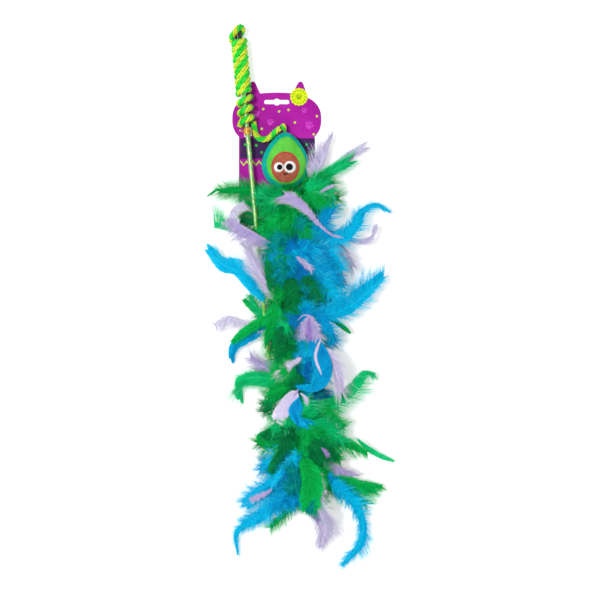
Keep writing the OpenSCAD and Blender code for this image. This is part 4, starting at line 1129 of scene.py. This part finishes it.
# The long feathers, one a line: link (0 is the collar), shade, kind, width to the left and to the
# right of the quill, and the quill's points from root to tip
LONG_FEATHERS = """
0 mint bar 10 10  64 -80 26  87 -65 24  107 -51 20  127 -39 16
0 green plume 13 13  67 -71 38  89 -63 32  109 -68 26
0 pale swoop 20 7  80 -67 20  87 -53 16  98 -28 13  108 -4 12
0 pale bar 8 8  94 -59 14  112 -45 11  130 -31 9  146 -21 8
1 green plume 16 14  44 -83 24  23 -78 5  1 -74 4  -20 -74 4  -34 -75 5
1 green vane 2.5 2  -15 -71 5  -27 -75 6  -38 -74 9  -45 -78 10  -51 -82 7
1 green plume 13 13  46 -103 20  18 -104 6  -4 -102 5
1 dark plume 13 13  46 -118 20  18 -117 8  -7 -112 6
1 mint comb 3 19  24 -140 16  3 -132 5  -13 -127 6  -28 -123 7  -42 -120 6
1 green plume 14 14  54 -84 42  34 -90 30  11 -92 5  -6 -94 4
1 lilac sail 24 2  38 -148 42  23 -138 38  4 -127 33  -11 -118 28  -21 -109 24
1 pale comb 3 10  -9 -120 25  -20 -109 25  -15 -98 24  -4 -91 22
1 green plume 13 13  52 -74 46  39 -89 44  27 -106 38
1 dark plume 13 13  52 -81 46  34 -89 42  19 -95 30
1 green plume 14 14  62 -76 48  59 -96 50  54 -119 48
1 green plume 14 14  72 -76 46  89 -89 44  104 -103 36
1 mint plume 13 13  72 -74 48  89 -71 42  107 -78 34
1 green plume 14 14  57 -106 50  39 -124 48  21 -138 34
1 green plume 13 13  67 -111 52  72 -131 50  74 -151 46
1 green plume 14 14  67 -81 32  89 -85 24  115 -85 14
1 lilac vane 2.5 2.5  91 -79 46  100 -74 44  109 -70 40
1 lilac flag 15 5  121 -136 44  105 -131 52  89 -117 57  73 -97 59  59 -86 58  48 -82 56
1 blue plume 12 14  77 -129 44  94 -116 44  109 -96 36
1 aqua swoop 13 15  94 -141 42  117 -136 38  134 -121 32  144 -103 26  162 -94 22  180 -102 18
1 blue plume 13 13  77 -129 48  96 -131 44  117 -131 34
1 pale fan 14 14  94 -126 32  112 -143 26  124 -158 20  132 -170 16
1 pale vane 9 2  122 -138 26  142 -142 21  156 -138 17  165 -121 14
1 blue plume 14 14  67 -136 52  74 -156 54  79 -179 50
1 aqua plume 13 13  62 -146 52  67 -154 54  89 -149 48
1 blue plume 14 14  59 -146 52  49 -169 50  49 -191 46
1 navy plume 14 14  76 -144 50  94 -159 46  107 -178 36
1 aqua plume 13 13  89 -146 46  107 -158 40  120 -176 32
2 blue plume 15 15  79 -166 50  101 -178 44  120 -198 32
2 aqua plume 15 15  84 -183 46  101 -198 42  117 -213 34
2 navy plume 14 14  82 -188 36  99 -201 28  114 -211 20
2 navy plume 12 12  67 -166 53  74 -184 54  86 -198 50
2 pale fan 10 10  89 -158 14  107 -170 9  122 -191 8
2 aqua vane 10 15  24 -218 22  6 -197 18  -9 -179 17  -29 -170 15  -50 -150 14
2 pale fan 14 13  38 -218 42  27 -197 40  14 -176 36  0 -147 28
2 dark vane 20 3  39 -218 40  38 -191 42  38 -161 42
3 mint plume 8 10  29 -241 14  13 -226 10  3 -208 8
3 green vane 6 5  24 -241 12  11 -227 8  -4 -213 7
1 blue plume 12 12  54 -154 52  37 -161 46  24 -171 36
3 aqua sweep 27 14  77 -233 46  102 -232 40  127 -223 32  149 -206 26  172 -184 22
2 dark plume 14 14  54 -184 54  59 -203 54  57 -226 48
2 dark plume 12 12  69 -184 55  81 -196 54  89 -213 48
2 lilac curl 4 4  62 -159 58  70 -166 59  81 -176 57
2 green vane 8 7  47 -226 48  22 -238 38  0 -251 26  -19 -266 16
2 green bar 14 14  37 -216 50  34 -236 46  31 -261 34
3 pale comb 14 4  31 -251 22  11 -246 17  -9 -240 14  -27 -236 12  -41 -246 10
3 blue vane 14 6  34 -241 24  11 -252 18  -8 -261 14  -18 -272 10  -22 -287 6
2 lilac curl 9 8  78 -232 56  73 -246 58  68 -259 54
2 lilac curl 8 9  79 -232 56  84 -248 58  89 -264 54
3 violet curl 6 6  78 -236 57  78 -248 59  79 -262 56
2 lilac vane 1.1 1.1  78 -232 61  74 -241 61  72 -253 60  65 -265 57
3 lilac vane 0.9 0.9  64 -239 60  70 -233 61  78 -233 61  84 -241 60  90 -249 58
2 blue plume 13 13  86 -228 48  101 -246 44  110 -266 34
2 navy plume 13 13  69 -233 53  54 -246 50  52 -261 46
3 aqua plume 13 13  76 -251 51  74 -273 52  77 -296 48
2 green vane 4 4  92 -231 26  112 -241 20  130 -255 14
3 blue hook 3 34  72 -251 50  93 -269 56  104 -295 58  100 -317 59  83 -327 60  63 -324 59
3 pale vane 2.2 2.2  93 -260 60  86 -283 60  93 -306 58
3 dark plume 14 14  52 -241 50  47 -263 50  47 -283 46
3 green plume 13 13  59 -263 50  49 -281 46  42 -298 38
3 lilac plume 12 12  57 -298 38  36 -301 26  19 -297 18  5 -287 15
3 pale curl 7 7  69 -285 58  54 -295 54  37 -310 48
3 pale fan 14 14  89 -268 46  108 -293 44  118 -328 38
4 mint bar 19 9  62 -318 40  34 -313 28  11 -310 20  -4 -314 14  -9 -323 9
3 green plume 13 13  62 -308 50  49 -323 46  34 -338 36
3 dark plume 13 13  67 -305 52  62 -320 52  67 -335 46
4 dark plume 12 12  57 -333 48  37 -343 36  21 -354 24
4 mint sweep 5 21  82 -353 38  107 -339 30  129 -323 24  146 -305 19  161 -307 14
4 pale blade 12 10  64 -325 58  52 -340 58  37 -362 52
4 violet vane 2.5 2.5  65 -324 58  58 -335 58  50 -345 56
4 blue hook 24 3  67 -333 60  55 -350 60  62 -366 58  80 -375 52
4 pale curl 3 3  67 -329 57  73 -335 57  76 -344 54
4 green plume 14 14  67 -355 52  52 -380 48  42 -408 38
4 dark plume 13 13  54 -372 54  48 -387 52  47 -408 44
4 green plume 14 14  72 -360 54  76 -382 52  74 -410 48
4 mint plume 14 14  81 -363 50  101 -376 42  122 -392 28
4 green plume 13 13  79 -378 48  96 -393 42  117 -414 28
4 green plume 12 12  86 -340 46  104 -356 38  122 -372 26
4 green vane 4 5  46 -364 20  29 -378 12  16 -388 8  25 -403 6
4 green sweep 5 21  82 -383 38  107 -384 30  129 -391 24  151 -405 18
4 mint vane 4 4.5  137 -387 22  152 -400 17  168 -410 13  185 -417 11
5 green blade 18 12  69 -407 59  78 -436 60  73 -476 48
5 green plume 10 10  79 -415 50  89 -438 46  94 -461 34
5 aqua plume 13 13  62 -393 42  39 -409 32  16 -428 16
4 dark blade 9 8  62 -390 46  47 -403 42  29 -429 34
5 navy plume 12 12  64 -407 50  54 -422 48  47 -440 42
5 aqua plume 13 13  64 -420 44  31 -442 30  11 -455 18  -6 -469 9
5 blue plume 14 14  67 -435 50  49 -453 44  36 -474 34
5 aqua plume 14 13  64 -443 40  36 -467 26  14 -484 14  -4 -494 8
5 aqua swoop 12 13  46 -464 30  19 -486 16  -4 -499 9  -14 -510 7  -12 -535 6
5 green plume 11 11  67 -465 26  46 -484 14  29 -501 8
5 pale train 20 19  85 -422 52  90 -445 50  90 -470 44  98 -499 24  93 -526 8
5 violet curl 5 5  75 -471 44  82 -479 42  89 -489 34
5 violet curl 3 3  93 -397 54  98 -402 56  101 -408 52
5 pale curl 5 5  84 -419 56  91 -436 52  96 -453 46
5 lilac bar 8 8  94 -414 36  109 -425 30  132 -435 20
5 green sweep 5 22  87 -433 38  117 -438 27  142 -443 19  170 -448 12
5 green plume 15 15  94 -444 32  122 -455 20  150 -471 10
5 mint plume 10 10  109 -447 24  135 -450 18  163 -456 10
5 blue plume 8 8  94 -431 38  109 -441 34  117 -460 26
5 aqua frayed 17 16  104 -436 40  122 -454 28  138 -476 18  147 -496 12  140 -525 8  120 -550 5
5 lilac curl 4 4  32 -449 46  19 -458 34  5 -465 20
2 blue plume 13 13  79 -203 44  94 -211 38  109 -223 28
2 green plume 9 9  44 -201 20  32 -217 6  25 -236 4
3 green plume 8 8  46 -254 20  34 -268 6  26 -284 4
5 aqua plume 14 14  64 -430 42  29 -452 24  0 -475 10
5 aqua curl 5 5  54 -415 50  44 -428 46  34 -446 38
"""


def make_boa():
    rng = np.random.default_rng(7)
    tree = down_tree()
    down_finish = plumage("down")
    finishes = {family: plumage("feather_" + family) for family in FAMILIES}
    # The packed hearts are dark green: painted shade deep inside the down
    heart = Finish("painted_shade_heart", {"Roughness": 0.9})
    heart.mottle(heart.noise(220), (0.3, linear_colour(0, 44, 30)), (0.7, linear_colour(0, 84, 50)))

    for k in range(1, LINKS + 1):
        link = f"boa_link_{k}"
        points, faces = packed_heart(k)
        packed = under_ceiling(points) * [1, 1, HEART_HEIGHT]
        piece(f"painted_shade_heart_{k}", packed, faces, [heart.material], link, slot="down_green")
        mesh = grown(tree, points, faces, {"Seed": k, "Finish": down_finish})
        paint_down(mesh)
        mesh.shade_smooth()
        carried(f"down_{k}", mesh, link, [f"boa_down_{k}"])
        top, bottom = -(k - 1) * LINK_LENGTH - 0.5, -k * LINK_LENGTH + (0.5 if k < LINKS else -4.5)
        core = on_link([[0, y, CORE_Z] for y in np.linspace(top, bottom, 6)])
        rope(f"core_{k}", core, CORE_RADIUS, CORE_LAY, THREE_STRANDS, link, f"boa_core_{k}", slot="core_cord",
             sides=6, step=1.5)

    made = {(k, family): Fibres() for k in range(LINKS + 1) for family in finishes}
    for row in LONG_FEATHERS.strip().splitlines():
        k, shade, kind, *numbers = row.split()
        left, right, *spine = map(float, numbers)
        feather(made[int(k), FAMILY[shade]], rng, shade, kind, left, right, np.reshape(spine, (-1, 3)),
                shift=rng.uniform(-0.05, 0.05))

    # Plumes that fill the boa in three layers: along the floor, from its middle and over its top
    rng = np.random.default_rng(21)
    for k in range(1, LINKS + 1):
        for n in range(FILL):
            level = n % 3
            hand = 1 if (n // 3) % 2 else -1
            t = (k - 1) * LINK_LENGTH + LINK_LENGTH * (n + rng.uniform(0.1, 0.9)) / FILL
            turn = rng.normal(0.35, 0.45)
            out = np.array([hand * math.cos(turn), -math.sin(turn), 0.0])
            reach = rng.uniform(38, 52) if level < 2 else rng.uniform(26, 44)
            # The upper plumes stop short, so that the rod and the long feathers show beside them
            if level > 0:
                reach = min(reach, np.interp(t, FILL_DOWN, FILL_LEFT if hand < 0 else FILL_RIGHT))
            if t + reach * math.sin(turn) > LOWEST_FILL:
                reach = max(SHORTEST_FILL, (LOWEST_FILL - t) / math.sin(turn))
            heights = LAYER_HEIGHTS[level]
            root = np.array([LAYER_OUT[level] * hand, -t, heights[0]])
            middle = root * [1, 1, 0] + out * reach * 0.5 + [0, 0, heights[1] + rng.uniform(-3, 3)]
            tip = root * [1, 1, 0] + out * reach + [0, rng.uniform(-6, 2), heights[2] + rng.uniform(-3, 5)]
            spine = on_link([root, middle, tip])
            down, across = off_link(spine[1])
            choice = rng.random()
            if off_edge(down, across) < TEAL_REACH and rng.random() < TEAL_SHARE:
                shade = "teal"
            elif is_blue(down, across):
                shade = "navy" if choice < 0.3 else "aqua" if choice > 0.75 else "blue"
            else:
                shade = "dark" if choice < 0.34 else "mint" if choice > 0.84 else "green"
            width = rng.uniform(10, 14)
            feather(made[k, FAMILY[shade]], rng, shade, "plume", width, width, spine, quill=0.3, spread=1.2,
                    shift=rng.uniform(-0.12, 0.08))

    for (k, family), fibres in made.items():
        if not fibres.points:
            continue
        if k == 0:
            name, body, node = f"collar_{family}", "avocado", f"collar_{family}_feathers"
        else:
            name, body, node = f"feathers_{family}_{k}", f"boa_link_{k}", f"boa_{family}_{k}"
        replaced = [node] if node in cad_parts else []
        fibres.finish(name, finishes[family], body, *replaced, slot=f"feather_{family}")

    thread = yarn("binding_thread", linear_colour(0, 60, 20), linear_colour(0, 110, 40), linear_colour(30, 150, 60))
    turns, orbit = 6, 2.5
    a = np.linspace(0, 2 * math.pi * turns, 150)
    along = -LINKS * LINK_LENGTH - 0.6 - 3.8 * a / a[-1]
    wrap = np.stack([orbit * np.cos(a), along, CORE_Z + orbit * np.sin(a)], axis=1)
    piece("binding", *tube(on_link(wrap), 0.42, 6), [thread], f"boa_link_{LINKS}", "boa_end_binding",
          slot="binding_thread")


make_boa()
